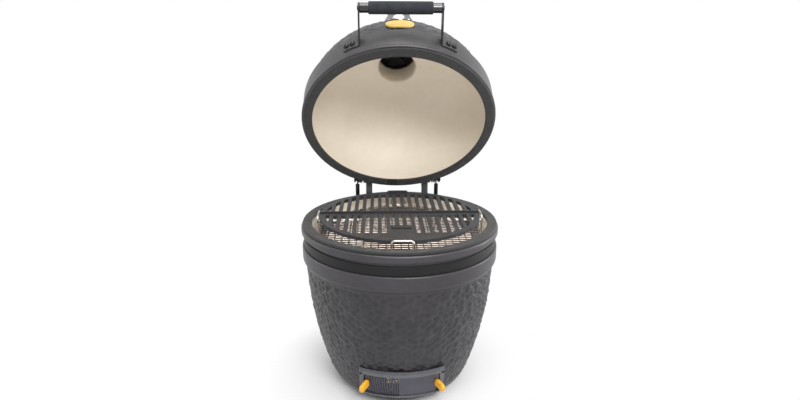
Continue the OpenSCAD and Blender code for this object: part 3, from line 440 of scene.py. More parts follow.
baseCeramic = {
    "cols": 480,
    "bellyRows": 112,
    "bellyCentre": (-0.735, 0.390),
    "bellyRadius": 1.000,
    "wall": 0.030,
    "cornerCentre": (0.1347, 0.075),
    "cornerRadius": 0.075,
    "cornerDip": math.radians(19.9),
    "flatTo": 0.06,
    "collarFrom": 0.3695,
    "collarCentre": (0.2595, 0.384),
    "collarRadius": 0.014,
    "collarTurn": (math.radians(-68), math.radians(-6)),
    "lip": [(0.2735, 0.3860, 0.0), (0.2735, 0.4170, 0.0045), (0.2660, 0.4170, 0.0012),
            (0.2660, 0.4520, 0.0012), (0.2750, 0.4520, 0.0055), (0.2750, 0.4720, 0.0055),
            (0.2450, 0.4720, 0.0020)],
    "mouth": [(0.2450, 0.4690, 0.0), (0.2450, 0.4350, 0.0015), (0.2342, 0.4345, 0.0)],
    "innerTop": 0.425,
    "innerRows": 22,
    "portMargin": 0.012,
    "dimplesAround": 100,
    "dimplePitch": 0.0190,
    "dimpleDepth": 0.0042,
    "footFade": (0.012, 0.03),
    "collarFade": (0.370, 0.010),
    "portAngle": math.radians(14.2),
    "portZ": (0.060, 0.122),
}


def dimpleField(a, steps, radii, spec):
    # hand-pressed hollows in staggered columns, each a little off its place and of its own depth; a hollow
    # is its depth times one minus the square of the distance to its middle over its reach
    rng = np.random.default_rng(21)
    pitch = spec["dimplePitch"]
    around = np.arange(spec["dimplesAround"])
    up = np.arange(int(steps[-1] / pitch) + 2)
    spotA, spotS = np.meshgrid(around * tau / len(around), up * pitch, indexing="ij")
    spotS = spotS + (around % 2)[:, None] * pitch / 2
    spotA = (spotA + rng.uniform(-0.3, 0.3, spotA.shape) * tau / len(around)).ravel()
    spotS = (spotS + rng.uniform(-0.2, 0.2, spotS.shape) * pitch).ravel()
    depth = rng.uniform(dimpleSpec["least"], dimpleSpec["most"], spotA.shape)
    reach = dimpleSpec["reach"] * pitch
    field = np.zeros((len(steps), len(a)))
    for row in range(len(steps)):
        close = np.abs(spotS - steps[row]) < pitch
        away = (a[:, None] - spotA[None, close] + math.pi) % tau - math.pi
        square = (away * radii[row]) ** 2 + (spotS[close] - steps[row])[None, :] ** 2
        field[row] = (depth[close] * np.clip(1 - square / reach ** 2, 0, 1)).max(axis=1)
    return field


def portSide(outer, inner, flip):
    # one side of the draft port: quads between a line of outer points and a line of inner points
    strip = stacked(outer[:-1], inner[:-1], inner[1:], outer[1:])
    return strip[:, ::-1] if flip else strip


def bellyAt(spec, z, inset):
    # the belly is an arc: r is its centre plus the root of its squared radius less the squared height
    cx, cz = spec["bellyCentre"]
    return stacked(cx + np.sqrt((spec["bellyRadius"] - inset) ** 2 - (z - cz) ** 2), z)


def buildBase(spec):
    corner = spec["cornerCentre"]
    dip = spec["cornerDip"]
    wall = spec["wall"]
    flat = spec["flatTo"]
    portLow, portHigh = spec["portZ"]
    foot = arcPath(corner, spec["cornerRadius"], np.linspace(-math.pi / 2, -dip, 12))
    bellyZ = np.linspace(foot[-1, 1], spec["collarFrom"], spec["bellyRows"])[1:]
    belly = bellyAt(spec, bellyZ, 0)
    collar = arcPath(spec["collarCentre"], spec["collarRadius"], np.linspace(*spec["collarTurn"], 8))
    lip = roundPath(spec["lip"], steps=6)
    top = np.concatenate([collar, lip, roundPath(spec["mouth"], steps=6)])
    portRows = np.flatnonzero((bellyZ >= portLow) & (bellyZ <= portHigh))
    upperZ = np.linspace(spec["innerTop"], portHigh + spec["portMargin"], spec["innerRows"])
    inner = bellyAt(spec, np.concatenate([upperZ, bellyZ[portRows][::-1]]), wall)
    floor = arcPath(corner, spec["cornerRadius"] - wall, np.linspace(-dip - 0.02, -math.pi / 2, 8))
    profile = np.concatenate([[[0.0, 0.0], [flat, 0.0]], foot, belly, top, inner, floor,
                              [[flat, wall], [0.0, wall]]])
    cols = spec["cols"]
    points = lathe(profile, cols)
    # the belly's skin is pushed in by the dimples, which fade out at the collar and at the foot
    first = 2
    last = first + len(foot) + len(belly)
    rows = profile[first:last]
    steps = np.concatenate([[0], np.cumsum(np.linalg.norm(np.diff(rows, axis=0), axis=1))])
    a = np.arange(cols) * tau / cols
    footFade = np.clip((rows[:, 1] - spec["footFade"][0]) / spec["footFade"][1], 0, 1)
    collarFade = np.clip((spec["collarFade"][0] - rows[:, 1]) / spec["collarFade"][1], 0, 1)
    field = dimpleField(a, steps, rows[:, 0], spec) * (footFade * collarFade)[:, None]
    slope = np.gradient(rows, axis=0)
    normal = unit(stacked(slope[:, 1], -slope[:, 0]))
    push = field * spec["dimpleDepth"]
    points[first:last, :, 0] -= push * normal[:, 0][:, None] * np.cos(a)
    points[first:last, :, 1] -= push * normal[:, 0][:, None] * np.sin(a)
    points[first:last, :, 2] -= push * normal[:, 1][:, None]
    # the hollow attribute keeps the dimple depth, which glazeGrey turns into painted shade in the dimples
    hollow = np.zeros((len(profile), cols))
    hollow[first:last] = field
    quads = gridQuads(len(profile), cols)
    rowOf = quads[:, 0] // cols
    # the draft port: the same rows are left open outside and inside, and four sides join their edges
    bearing = (a + tau / cols / 2 + math.pi / 2 + math.pi) % tau - math.pi
    portCols = np.flatnonzero(np.abs(bearing) < spec["portAngle"])
    outRows = first + len(foot) + portRows
    inRows = last + len(top) + spec["innerRows"] + np.arange(len(portRows))
    outside = (rowOf >= outRows[0]) & (rowOf < outRows[-1])
    inside = (rowOf >= inRows[0]) & (rowOf < inRows[-1])
    keep = ~((outside | inside) & np.isin(quads[:, 0] % cols, portCols))
    edge = np.append(portCols, portCols[-1] + 1)
    outBack = outRows[::-1]
    allQuads = np.concatenate([
        quads[keep],
        portSide(outRows[0] * cols + edge, inRows[-1] * cols + edge, True),
        portSide(outRows[-1] * cols + edge, inRows[0] * cols + edge, False),
        portSide(outBack * cols + edge[0], inRows * cols + edge[0], True),
        portSide(outBack * cols + edge[-1], inRows * cols + edge[-1], False)])
    lookOf = np.zeros(len(allQuads), dtype=bool)
    lookOf[:keep.sum()] = rowOf[keep] >= last + len(collar) + len(lip) - 1
    return makePiece("baseShell", points, allQuads, [glazeGrey, glazeCream], lookOf=lookOf, sharp=42,
                     weld=True, hollow=hollow)


settle(buildBase(baseCeramic), "base", "glazed_shell", "base_shell")
print("base done")

# Ceramic lid: lip, seat for the band, dimpled dome, rolled neck with the chimney, cream bowl

lidCeramic = {
    "cols": 480,
    "seat": [(0.2450, 0.0060, 0.001), (0.2750, 0.0060, 0.0040), (0.2750, 0.0160, 0.0040),
             (0.2700, 0.0160, 0.0008), (0.2700, 0.0762, 0.0015)],
    "domeRows": 104,
    "domeCentre": 0.030,
    "domeRadius": 0.272,
    "domeFromZ": 0.0775,
    "domeToR": 0.0965,
    "neckCentre": (0.078, 0.294),
    "neckRadius": 0.014,
    "neckTurn": (math.radians(-28), math.radians(95)),
    "chimney": [(0.0780, 0.3082, 0.0), (0.0780, 0.3180, 0.0012), (0.0570, 0.3180, 0.002),
                (0.0570, 0.2545, 0.003)],
    "bowlCentre": 0.015,
    "bowlRadius": 0.245,
    "bowlFromR": 0.0602,
    "dimplePitch": 0.0180,
    "dimpleDepth": 0.0030,
    "scatter": 0.17,
    "margin": 0.03,
    "fade": (0.008, 0.012),
}


def buildLid(spec):
    cz = spec["domeCentre"]
    radius = spec["domeRadius"]
    pitch = spec["dimplePitch"]
    rise = np.linspace(math.asin((spec["domeFromZ"] - cz) / radius), math.acos(spec["domeToR"] / radius),
                       spec["domeRows"])
    fall = np.linspace(math.acos(spec["bowlFromR"] / spec["bowlRadius"]), 0, 40)
    low = roundPath(spec["seat"], steps=6)
    dome = arcPath((0, cz), radius, rise)
    neck = arcPath(spec["neckCentre"], spec["neckRadius"], np.linspace(*spec["neckTurn"], 14))
    bowl = arcPath((0, spec["bowlCentre"]), spec["bowlRadius"], fall)
    profile = np.concatenate([low, dome, neck, roundPath(spec["chimney"], steps=5), bowl])
    cols = spec["cols"]
    points = lathe(profile, cols)
    # dimples lie near a spiral of evenly spread points, as many as cells of a hexagon packing, 0.866 of the
    # squared pitch each, cover the sphere; each is a little off its place and of its own depth; a
    # hollow is its depth times one minus the squared distance over its reach, and that square is twice the
    # dome's squared radius times one minus the cosine of the angle between
    first = len(low)
    last = first + len(dome)
    skin = points[first:last].reshape(-1, 3)
    out = unit(skin - np.array([0, 0, cz]))
    count = int(4 * math.pi * radius ** 2 / (pitch ** 2 * 0.866))
    k = np.arange(count)
    height = 1 - (2 * k + 1) / count
    swing = k * math.pi * (3 - math.sqrt(5))
    away = np.sqrt(1 - height ** 2)
    spots = stacked(away * np.cos(swing), away * np.sin(swing), height)
    lowest = math.sin(rise[0]) - spec["margin"]
    highest = math.sin(rise[-1]) + spec["margin"]
    spots = spots[(height > lowest) & (height < highest)]
    rng = np.random.default_rng(34)
    spots = unit(spots + rng.normal(0, spec["scatter"] * pitch / radius, spots.shape))
    depth = rng.uniform(dimpleSpec["least"], dimpleSpec["most"], len(spots))
    sharpness = 2 * (radius / (dimpleSpec["reach"] * pitch)) ** 2
    slopes = (spots * (depth * sharpness)[:, None]).T
    bases = depth * (1 - sharpness)
    field = np.concatenate([(part @ slopes + bases).max(axis=1) for part in np.array_split(out, 24)])
    level = np.repeat(rise, cols)
    lowFade = np.clip((level - rise[0]) * radius / spec["fade"][0], 0, 1)
    highFade = np.clip((rise[-1] - level) * radius / spec["fade"][1], 0, 1)
    field = np.clip(field, 0, None) * (lowFade * highFade)
    points[first:last] = (skin - out * (field * spec["dimpleDepth"])[:, None]).reshape(len(dome), cols, 3)
    # the hollow attribute keeps the dimple depth, which glazeGrey turns into painted shade in the dimples
    hollow = np.zeros((len(profile), cols))
    hollow[first:last] = field.reshape(len(dome), cols)
    quads = gridQuads(len(profile), cols, closeRows=True)
    # the cream starts inside the chimney, ten rows after the neck
    cream = quads[:, 0] // cols >= last + len(neck) + 10
    return makePiece("lidShell", openLid(points), quads, [glazeGrey, glazeCream], lookOf=cream, sharp=42,
                     hollow=hollow)


settle(buildLid(lidCeramic), "lid", "glazed_shell", "lid_shell")
print("lid done")

# Felt gaskets: a soft strip with rounded outer edges and a slightly uneven face

gasketFelt = {"cols": 420, "inner": 0.245, "outer": 0.271, "round": 0.003, "rough": 0.00022, "rim": 0.008,
              "lidThick": 0.006, "jointX": -0.017, "jointHalf": 0.015}


def buildGasket(name, low, high, seed, place, seam):
    # the strip's section runs round a rectangle, and fine seeded unevenness lifts it; its joint, below the
    # height of the seam, is a dark patch, and its outer foot is painted dark as the shade where it meets the
    # lip
    s = gasketFelt
    loop = roundPath([(s["inner"], low, 0.0009), (s["outer"], low, 0.0009), (s["outer"], high, s["round"]),
                      (s["outer"] - s["rim"], high, 0.001), (s["inner"] + s["rim"], high, 0.001),
                      (s["inner"], high, 0.0016)], steps=5)
    points = lathe(loop, s["cols"])
    rng = np.random.default_rng(seed)
    lift = rng.uniform(-1, 1, points.shape[:2]) * s["rough"]
    lift = (lift + np.roll(lift, 1, axis=1) + np.roll(lift, -1, axis=1)) / 2
    points[..., 2] += np.minimum(lift, 0.0001)
    placed = place(points)
    joint = (np.abs(placed[..., 0] - s["jointX"]) < s["jointHalf"]) & (placed[..., 2] < seam)
    # painted shade: the outer corner next to the lip is darkened like a shadowed gap
    foot = (loop[:, 0] > s["outer"] - 0.001) & (loop[:, 1] < low + 0.001)
    quads = gridQuads(len(loop), s["cols"], closeRows=True)
    return makePiece(name, placed, quads, [feltGrey], sharp=60, hollow=joint | foot[:, None])


def stay(points):
    return points


def lidFlip(points):
    # the lid's strip hangs under the lip: mirrored about its own middle and turned inside out again
    flipped = points.copy()
    flipped[..., 2] = gasketFelt["lidThick"] - flipped[..., 2]
    return openLid(flipped[:, ::-1, :])


baseFelt = buildGasket("baseFelt", 0.472, 0.480, 11, stay, 0.0)
settle(baseFelt, "base", "felt", "base_gasket")
lidFelt = buildGasket("lidFelt", 0.0, gasketFelt["lidThick"], 12, lidFlip, 0.6)
settle(lidFelt, "lid", "felt", "lid_gasket")

# Steel bands: flat rings with softened edges

bandSpecs = {
    "baseBand": {"r": (0.2662, 0.2692), "z": (0.418, 0.444), "edge": 0.0010},
    "lidBand": {"r": (0.2702, 0.2732), "z": (0.017, 0.0745), "edge": 0.0011},
}


def buildBand(name, finish, place):
    # the band's section is a rectangle with small parabolas at its corners, carried round the axis
    cols = 240
    inner, outer = bandSpecs[name]["r"]
    low, high = bandSpecs[name]["z"]
    edge = bandSpecs[name]["edge"]
    loop = roundPath([(inner, low, 0.0004), (outer, low, edge), (outer, high, edge), (inner, high, 0.0004)])
    return makePiece(name, place(lathe(loop, cols)), gridQuads(len(loop), cols, closeRows=True), [finish])


# the base band's near black is its dark paint and painted shade of its recess under the lip
settle(buildBand("baseBand", bandBlack, stay), "base", "band_steel", "base_band")
settle(buildBand("lidBand", bandGrey, openLid), "lid", "lid_band_steel", "lid_band")
print("felt and bands done")

# Handle: gloss tube, foam grip, flat arms

handleSpec = {
    "y": -0.325, "z": 0.092, "tube": 0.0125, "half": 0.1038, "edge": 0.0014, "grip": 0.016,
    "gripHalf": 0.0815, "bore": 0.0127, "bulge": 0.0002, "uneven": 0.00012, "armOuter": 0.1085,
}


def alongX(points):
    # a turned shape is laid along x at the handle: its height becomes x, its own x becomes the height
    x, y, z = np.moveaxis(points, -1, 0)
    return stacked(z, y + handleSpec["y"], handleSpec["z"] - x)


def buildTube(spec):
    half = spec["half"]
    r = spec["tube"]
    e = spec["edge"]
    profile = roundPath([(0, -half, 0), (r, -half, e), (r, half, e), (0, half, 0)], steps=6)
    sides = 64
    points = openLid(alongX(lathe(profile, sides)))
    return makePiece("handleTube", points, gridQuads(len(profile), sides), [tubeBlack], weld=True)


def buildGrip(spec):
    # the foam sleeve bulges a little, and its ends are rounded down to the tube
    half = spec["gripHalf"]
    slim = spec["grip"] - spec["bulge"]
    bore = spec["bore"]
    sides = 72
    body = np.linspace(-half + 0.004, half - 0.004, 70)
    swell = slim + spec["bulge"] * np.cos(body / half * math.pi / 2)
    front = roundPath([(bore, -half, 0), (slim, -half, 0.0028), (slim, -half + 0.0036, 0)], steps=7)
    back = front[::-1] * np.array([1, -1])
    points = lathe(np.concatenate([front, stacked(swell, body), back]), sides)
    lift = evenNoise(seed=5, shape=points.shape[:2], waves=40, size=22) * spec["uneven"]
    points[..., :2] *= (1 + np.minimum(lift, 0.00002) / spec["grip"])[..., None]
    points = np.concatenate([points, lathe(np.array([[bore, half], [bore, -half]]), sides)])
    quads = gridQuads(len(points), sides)
    return makePiece("gripFoam", openLid(alongX(points)), quads, [foamGrey], weld=True)


settle(buildTube(handleSpec), "lid", "black_tube", "handle_tube")
settle(buildGrip(handleSpec), "lid", "foam", "handle_grip")
# an arm's foot, beyond its outer side, is painted like the band it is bolted to
for nodeName in ("handle_arm_left", "handle_arm_right"):
    arm = finishedCopy(nodeName, fastenerBlack, "lid", "black_fastener", edge=0.0007).data
    arm.materials.append(bandGrey)
    centres = np.zeros(len(arm.polygons) * 3, dtype=np.float32)
    arm.polygons.foreach_get("center", centres)
    onFoot = np.abs(centres[0::3]) > handleSpec["armOuter"]
    arm.polygons.foreach_set("material_index", onFoot.astype(np.int32))
finishedCopy("handle_end_screws", fastenerBlack, "lid", "black_fastener", edge=0.0009)

# Dome nuts: a hexagon that turns into a round dome, with its shank behind it

hingeNut = {"across": 0.006, "high": 0.0048, "shank": 0.003, "dome": 0.0046, "top": 0.0064, "depth": 0.006}
handleNut = {"across": 0.0075, "high": 0.0052, "shank": 0.003, "dome": 0.0058, "top": 0.0080, "depth": 0.006}


def domeNuts(s, bearings, radius, z):
    # a ring is a blend of a circle and a hexagon, whose radius is its flat over the cosine of the angle from
    # the flat's middle
    sides = 48
    t = np.arange(sides) * tau / sides
    hexRadius = math.cos(math.pi / 6) / np.cos((t % (tau / 6)) - math.pi / 6)
    arc = np.linspace(0.15, math.pi / 2, 6)
    heights = np.concatenate([[-s["depth"], -s["depth"], 0, 0, s["high"] * 0.85, s["high"]],
                              s["high"] + (s["top"] - s["high"]) * np.sin(arc)])
    sizes = np.concatenate([[0, s["shank"], s["shank"], s["across"], s["across"], s["across"] * 0.92],
                            s["dome"] * np.cos(arc)])
    shares = np.concatenate([[0, 0, 0, 1, 1, 0.7], np.zeros(6)])
    rings = sizes[:, None] * (1 - shares[:, None] + shares[:, None] * hexRadius[None, :])
    local = stacked(radius + heights[:, None], rings * np.sin(t), z - rings * np.cos(t))
    quads = gridQuads(len(heights), sides)
    return joinShapes(*[(turnAbout(local, bearing), quads) for bearing in bearings])


footStart = math.asin(0.104 / 0.2734)
footSweep = math.radians(9.5)
handleBearings = [-math.pi / 2 + s * (footStart + f * footSweep) for s in (-1, 1) for f in (0.42, 0.8)]
hingeX = np.array([-0.066, -0.030, 0.030, 0.066])
lidBearings = math.pi / 2 - np.arcsin(hingeX / 0.2732)
baseBearings = math.pi / 2 - np.arcsin(hingeX / 0.2694)
nutRows = [
    ("handleNuts", "lid", "handle_bolts", handleNut, handleBearings, 0.2776, 0.047),
    ("lidHingeNuts", "lid", "hinge_lid_bolts", hingeNut, lidBearings, 0.2778, 0.0665),
    ("baseHingeNuts", "base", "hinge_base_bolts", hingeNut, baseBearings, 0.2736, 0.431),
]
for name, body, stoodFor, spec, bearings, radius, z in nutRows:
    points, quads = domeNuts(spec, bearings, radius, z)
    placed = openLid(points) if body == "lid" else points
    settle(makePiece(name, placed, quads, [fastenerBlack], weld=True), body, "black_fastener", stoodFor)
print("handle and nuts done")

# Hinge: brackets, pin, nut and the two torsion springs

springSpec = {"x": 0.1132, "length": 0.0144, "turns": 3, "coil": 0.010, "wire": 0.002, "foot": 0.420}
finishedCopy("hinge_base_bracket", hingeGrey, "base", "hinge_steel", edge=0.0008)
finishedCopy("hinge_lid_bracket", fastenerBlack, "lid", "hinge_steel", edge=0.0008)
finishedCopy("hinge_pin", springBlack, "base", "bright_steel", edge=0.0008)
finishedCopy("hinge_pin_nut", fastenerBlack, "base", "black_fastener", edge=0.0006)


def buildSpring(name, spec, mirrored):
    # the wire starts beside the lid's arm, winds round the pin as a helix and drops into the bracket
    pin = np.array([0, lidPlace["hingeY"], lidPlace["hingeZ"]])
    a = np.linspace(0, tau * spec["turns"], 32 * spec["turns"] + 1)
    along = spec["x"] + spec["length"] * a / a[-1]
    coil = pin + stacked(along, -spec["coil"] * np.cos(a), -spec["coil"] * np.sin(a))
    tail = coil[0] + np.linspace(1, 0.1, 5)[:, None] * np.array([-2 * spec["wire"], 0, 0])
    leg = np.repeat(coil[-1:], 24, axis=0)
    leg[:, 2] = np.linspace(pin[2] - 0.004, spec["foot"], 24)
    path = np.concatenate([tail, coil, leg])
    ref = unit((path - pin) * np.array([0, 1, 1]))
    ref[-len(leg):] = np.array([0, -1, 0])
    ref[:len(tail)] = np.array([0, -1, 0])
    rings, quads = sweepTube(path, spec["wire"], 14, ref)
    if mirrored:
        rings = rings[:, ::-1, :] * np.array([-1, 1, 1])
    return makePiece(name, rings, quads, [springBlack], weld=True)


settle(buildSpring("hingeSpringLeft", springSpec, True), "base", "spring_steel", "hinge_spring_left")
settle(buildSpring("hingeSpringRight", springSpec, False), "base", "spring_steel", "hinge_spring_right")

# A soft black sleeve guards the part of each spring's leg that shows behind the rim

sleeveSpec = {"x": 0.1276, "y": 0.275, "z": (0.463, 0.507), "radius": 0.0065, "bore": 0.0021, "edge": 0.0018}


def buildSleeves(s):
    # a turned ring of the sleeve's length, with rounded ends, stands round each leg
    low, high = s["z"]
    loop = roundPath([(s["bore"], low, 0.0), (s["radius"], low, s["edge"]), (s["radius"], high, s["edge"]),
                      (s["bore"], high, 0.0)], steps=6)
    sides = 32
    ring = lathe(loop, sides)
    quads = gridQuads(len(loop), sides, closeRows=True)
    points, allQuads = joinShapes(*[(ring + np.array([x, s["y"], 0]), quads) for x in (-s["x"], s["x"])])
    return makePiece("springSleeves", points, allQuads, [springBlack])


settle(buildSleeves(sleeveSpec), "base", "spring_steel")
print("hinge done")

# Rack and wire grid: bent bright wire

rackSpec = {
    "ring": 0.22922, "ringWire": 0.0036, "ringZ": 0.4399, "inner": 0.115, "wire": 0.003, "thin": 0.0028,
    "spokeZ": 0.4827, "loopAt": 0.2275, "loopHalf": 0.028, "loopTop": 0.495, "bend": 0.010,
    "rearHalf": 0.014, "spokeIn": 0.022, "rearBendZ": 0.451, "rearLean": 0.016, "knee": 0.004, "sides": 12,
}
gridSpec = {"wire": 0.0020, "pitch": 0.014, "rows": 15, "crossPitch": 0.020, "crossRows": 10, "z": 0.4449,
            "crossShare": 0.86, "sides": 12}


def ringPath(radius, z, count):
    a = np.arange(count) * tau / count
    return stacked(radius * np.cos(a), radius * np.sin(a), z)


def buildRack(s):
    # rings are closed tubes; a loop is a tube up one leg, round two bends and down the other leg
    sides = s["sides"]
    shapes = [sweepTube(ringPath(s["ring"], s["ringZ"], 180), s["ringWire"], sides, (0, 0, 1), closed=True),
              sweepTube(ringPath(s["inner"], s["spokeZ"], 120), s["wire"], sides, (0, 0, 1), closed=True)]
    bend = np.linspace(0, math.pi / 2, 8)
    high = s["loopTop"] - s["bend"]
    rise = stacked(-s["loopHalf"], np.linspace(s["ringZ"], high - 0.001, 10))
    arc = arcPath((s["bend"] - s["loopHalf"], high), s["bend"], math.pi - bend)
    half = np.concatenate([rise, arc])
    flat = np.concatenate([half, half[::-1] * np.array([-1, 1])])
    loop = stacked(s["loopAt"], flat[:, 0], flat[:, 1])
    innerAt = math.sqrt(s["inner"] ** 2 - s["spokeIn"] ** 2)
    rearAt = math.sqrt(s["ring"] ** 2 - s["rearHalf"] ** 2)
    ends = np.array([[s["loopAt"], k * s["loopHalf"], s["spokeZ"]] for k in (-1, 1)])
    roots = np.array([[innerAt, k * s["spokeIn"], s["spokeZ"]] for k in (-1, 1)])
    for bearing in (0, math.pi, 1.5 * math.pi):
        outward = (math.cos(bearing), math.sin(bearing), 0)
        shapes.append(sweepTube(turnAbout(loop, bearing), s["wire"], sides, outward))
        shapes.append(rodField(turnAbout(ends, bearing), turnAbout(roots, bearing), s["thin"], sides))
    # the rear legs stand up to a knee and then lean inwards to their spokes
    for k in (-1, 1):
        y = k * s["rearHalf"]
        path = roundPath([(rearAt, y, s["ringZ"], 0), (rearAt, y, s["rearBendZ"], s["knee"]),
                          (rearAt - s["rearLean"], y, s["spokeZ"], s["knee"]),
                          (innerAt, k * s["spokeIn"], s["spokeZ"], 0)], steps=7)
        shapes.append(sweepTube(turnAbout(path, math.pi / 2), s["thin"], sides, (1, 0, 0)))
    points, quads = joinShapes(*shapes)
    return makePiece("rackFrame", points, quads, [wireSteel], weld=True)


def buildGrid(s):
    # parallel wires across the ring, with lighter cross wires welded under them
    reach = rackSpec["ring"]
    rows = np.arange(-s["rows"], s["rows"] + 1) * s["pitch"]
    half = np.sqrt(reach ** 2 - rows ** 2)
    nearLoop = np.abs(rows) < rackSpec["loopHalf"] + rackSpec["wire"] + s["wire"]
    half = np.where(nearLoop, np.minimum(half, rackSpec["loopAt"] - rackSpec["wire"] - 0.0015), half)
    a = stacked(-half, rows, s["z"])
    b = a * np.array([-1, 1, 1])
    cols = np.arange(-s["crossRows"], s["crossRows"] + 1) * s["crossPitch"]
    count = np.floor(np.sqrt((reach - 0.004) ** 2 - cols ** 2) / s["pitch"]).clip(0, s["rows"])
    deep = count * s["pitch"] + s["wire"]
    c = stacked(cols, -deep, s["z"] - 1.5 * s["wire"])
    d = c * np.array([1, -1, 1])
    points, quads = joinShapes(rodField(a, b, s["wire"], s["sides"]),
                               rodField(c, d, s["wire"] * s["crossShare"], s["sides"]))
    # the grid's wires get the shaded copy of the steel: painted shade under the grates
    return makePiece("wireGrid", points, quads, [gridShadedSteel], weld=True)


settle(buildRack(rackSpec), "rack", "bright_steel", "rack_frame")
settle(buildGrid(gridSpec), "rack", "bright_steel", "wire_grid")
finishedCopy("front_grate", grateIron, "front_grate", "grate_iron", edge=0.0014, segments=3)
finishedCopy("rear_grate", grateIron, "rear_grate", "grate_iron", edge=0.0014, segments=3)

# A low rib along the rear grate's straight edge, where the two halves meet: its raised face stands for the
# step between the halves, and its black is painted shade on that face

shadeRibSpec = {"half": 0.2232, "y": (0.0012, 0.0052), "z": (0.4949, 0.5002), "edge": 0.0008}


def buildShadeRib(s):
    # the rib's section is a rectangle with small parabolas at its upper corners; rings of it stand along x,
    # closed at both ends
    near, far = s["y"]
    low, high = s["z"]
    e = s["edge"]
    loop = roundPath([(near, low, 0.0), (far, low, 0.0), (far, high, e), (near, high, e)], steps=4)
    middle = loop.mean(axis=0)
    x = np.array([-s["half"], -s["half"], s["half"], s["half"]])
    shrink = np.array([0.0, 1.0, 1.0, 0.0])
    ring = middle + (loop - middle)[None] * shrink[:, None, None]
    points = stacked(x[:, None], ring[..., 0], ring[..., 1])
    # the rib takes the dial marks' black, darker than the grate's iron, as painted shade
    return makePiece("rearGrateRib", points, gridQuads(4, len(loop)), [markBlack], weld=True)


settle(buildShadeRib(shadeRibSpec), "rear_grate", "grate_iron")
print("rack and grates done")

# Fire box, ring and charcoal grate

finishedCopy("fire_box", fireClay, "base", "fire_clay", edge=0.002)
finishedCopy("fire_ring", fireClay, "base", "fire_clay", edge=0.002)
finishedCopy("charcoal_grate", grateIron, "base", "grate_iron", edge=0.0008)

# Draft door: frame, solid door, perforated screen, amber pull tabs

finishedCopy("draft_frame", frameGrey, "base", "grey_sheet", edge=0.0007)
finishedCopy("draft_frame_screws", fastenerBlack, "base", "black_fastener", edge=0.0009)
finishedCopy("draft_door", sheetGrey, "draft_door", "grey_sheet", edge=0.0004)
finishedCopy("ash_screen", sheetGrey, "ash_screen", "grey_sheet", edge=0.0)
tabSpec = {"low": 0.2145, "z": 0.042, "lean": math.radians(17.3), "length": 0.089, "reach": 0.030,
           "high": 0.024, "thick": 0.010, "tip": 0.006, "power": 4, "splay": 0.2,
           "bearing": math.radians(24.31)}


def buildTab(name, side, root):
    # a paddle: rings along its length are rounded rectangles, power 4 in the superellipse, that taper at
    # both ends; outside the panel it leans a fifth of its length away from the middle of the door
    s = tabSpec
    long = s["reach"] + root
    tip = s["tip"]
    x = long / 2 - long / 2 * np.cos(np.linspace(0, math.pi, 22))
    nose = np.sqrt(np.clip(1 - np.clip((x - (long - s["high"] / 2)) / (s["high"] / 2), 0, 1) ** 2.2, 0, 1))
    heel = 0.72 + 0.28 * np.clip(x / tip, 0, 1) ** 0.5
    tall = s["high"] / 2 * nose * heel
    wide = s["thick"] / 2 * np.sqrt(np.clip(1 - np.clip((x - (long - tip)) / tip, 0, 1) ** 2.2, 0, 1))
    sides = 40
    t = np.arange(sides) * tau / sides
    cy = np.sign(np.cos(t)) * np.abs(np.cos(t)) ** (2 / s["power"])
    cz = np.sign(np.sin(t)) * np.abs(np.sin(t)) ** (2 / s["power"])
    rings = stacked(x[:, None], wide[:, None] * cy, tall[:, None] * cz)
    rings = np.concatenate([rings[:1] * np.array([1, 0, 0]), rings])
    mid = s["length"] / 2
    c = math.cos(s["lean"])
    w = math.sin(s["lean"])
    lx = rings[..., 0] - root
    y = rings[..., 1] + side * s["splay"] * np.clip(lx, 0, None)
    r = s["low"] + mid * w + lx * c + rings[..., 2] * w
    z = s["z"] + mid * c - lx * w + rings[..., 2] * c
    points = turnAbout(stacked(r, y, z), side * s["bearing"] - math.pi / 2)
    return makePiece(name, points, gridQuads(len(points), sides), [tabAmber], weld=True, sharp=60)


settle(buildTab("draftDoorTab", 1, 0.0022), "draft_door", "amber_tab", "draft_door_tab")
settle(buildTab("ashScreenTab", -1, 0.0046), "ash_screen", "amber_tab", "ash_screen_tab")
print("draft door done")

# Badge plate and thermometer, on the dome's front

domeSpec = {"centre": 0.030, "radius": 0.272, "badge": math.radians(19), "thermometer": math.radians(42)}


def onDome(local, up):
    # local x stays, local z follows the dome's normal at the angle up, local y runs up the dome
    c = math.cos(up)
    s = math.sin(up)
    x, y, z = np.moveaxis(local, -1, 0)
    out = z + domeSpec["radius"]
    return stacked(x, -out * c + y * s, domeSpec["centre"] + out * s + y * c)


badgeSpec = {"width": 0.076, "height": 0.050, "thick": 0.004, "edge": 0.0012, "sides": 96, "lift": 0.0002}


def buildBadge(s):
    # a slot-shaped outline shrinks in rings from the rim to the middle line, and every point is bent on to
    # the sphere
    t = np.arange(s["sides"]) * tau / s["sides"]
    r = s["height"] / 2
    shift = (s["width"] - s["height"]) / 2 * np.clip(np.cos(t) * 3, -1, 1)
    e = s["edge"]
    thick = s["thick"]
    inset = np.array([r, 0.004, 0.0, 0.0, e * 0.3, e, e * 1.6, 0.006, 0.012, 0.018, r])
    high = np.array([0.0, 0.0, 0.0, thick - e, thick - e * 0.3] + [thick] * 6)
    ring = (r - inset)[:, None]
    x = shift[None, :] + ring * np.cos(t)
    y = ring * np.sin(t)
    ball = domeSpec["radius"] + s["lift"] + high[:, None]
    z = np.sqrt(ball ** 2 - x ** 2 - y ** 2) - domeSpec["radius"]
    points = openLid(onDome(stacked(x, y, z), domeSpec["badge"]))
    quads = gridQuads(len(inset), s["sides"])
    return makePiece("badgePlate", points, quads, [plateAmber], weld=True, sharp=50)


settle(buildBadge(badgeSpec), "lid", "amber_plate", "lid_badge")

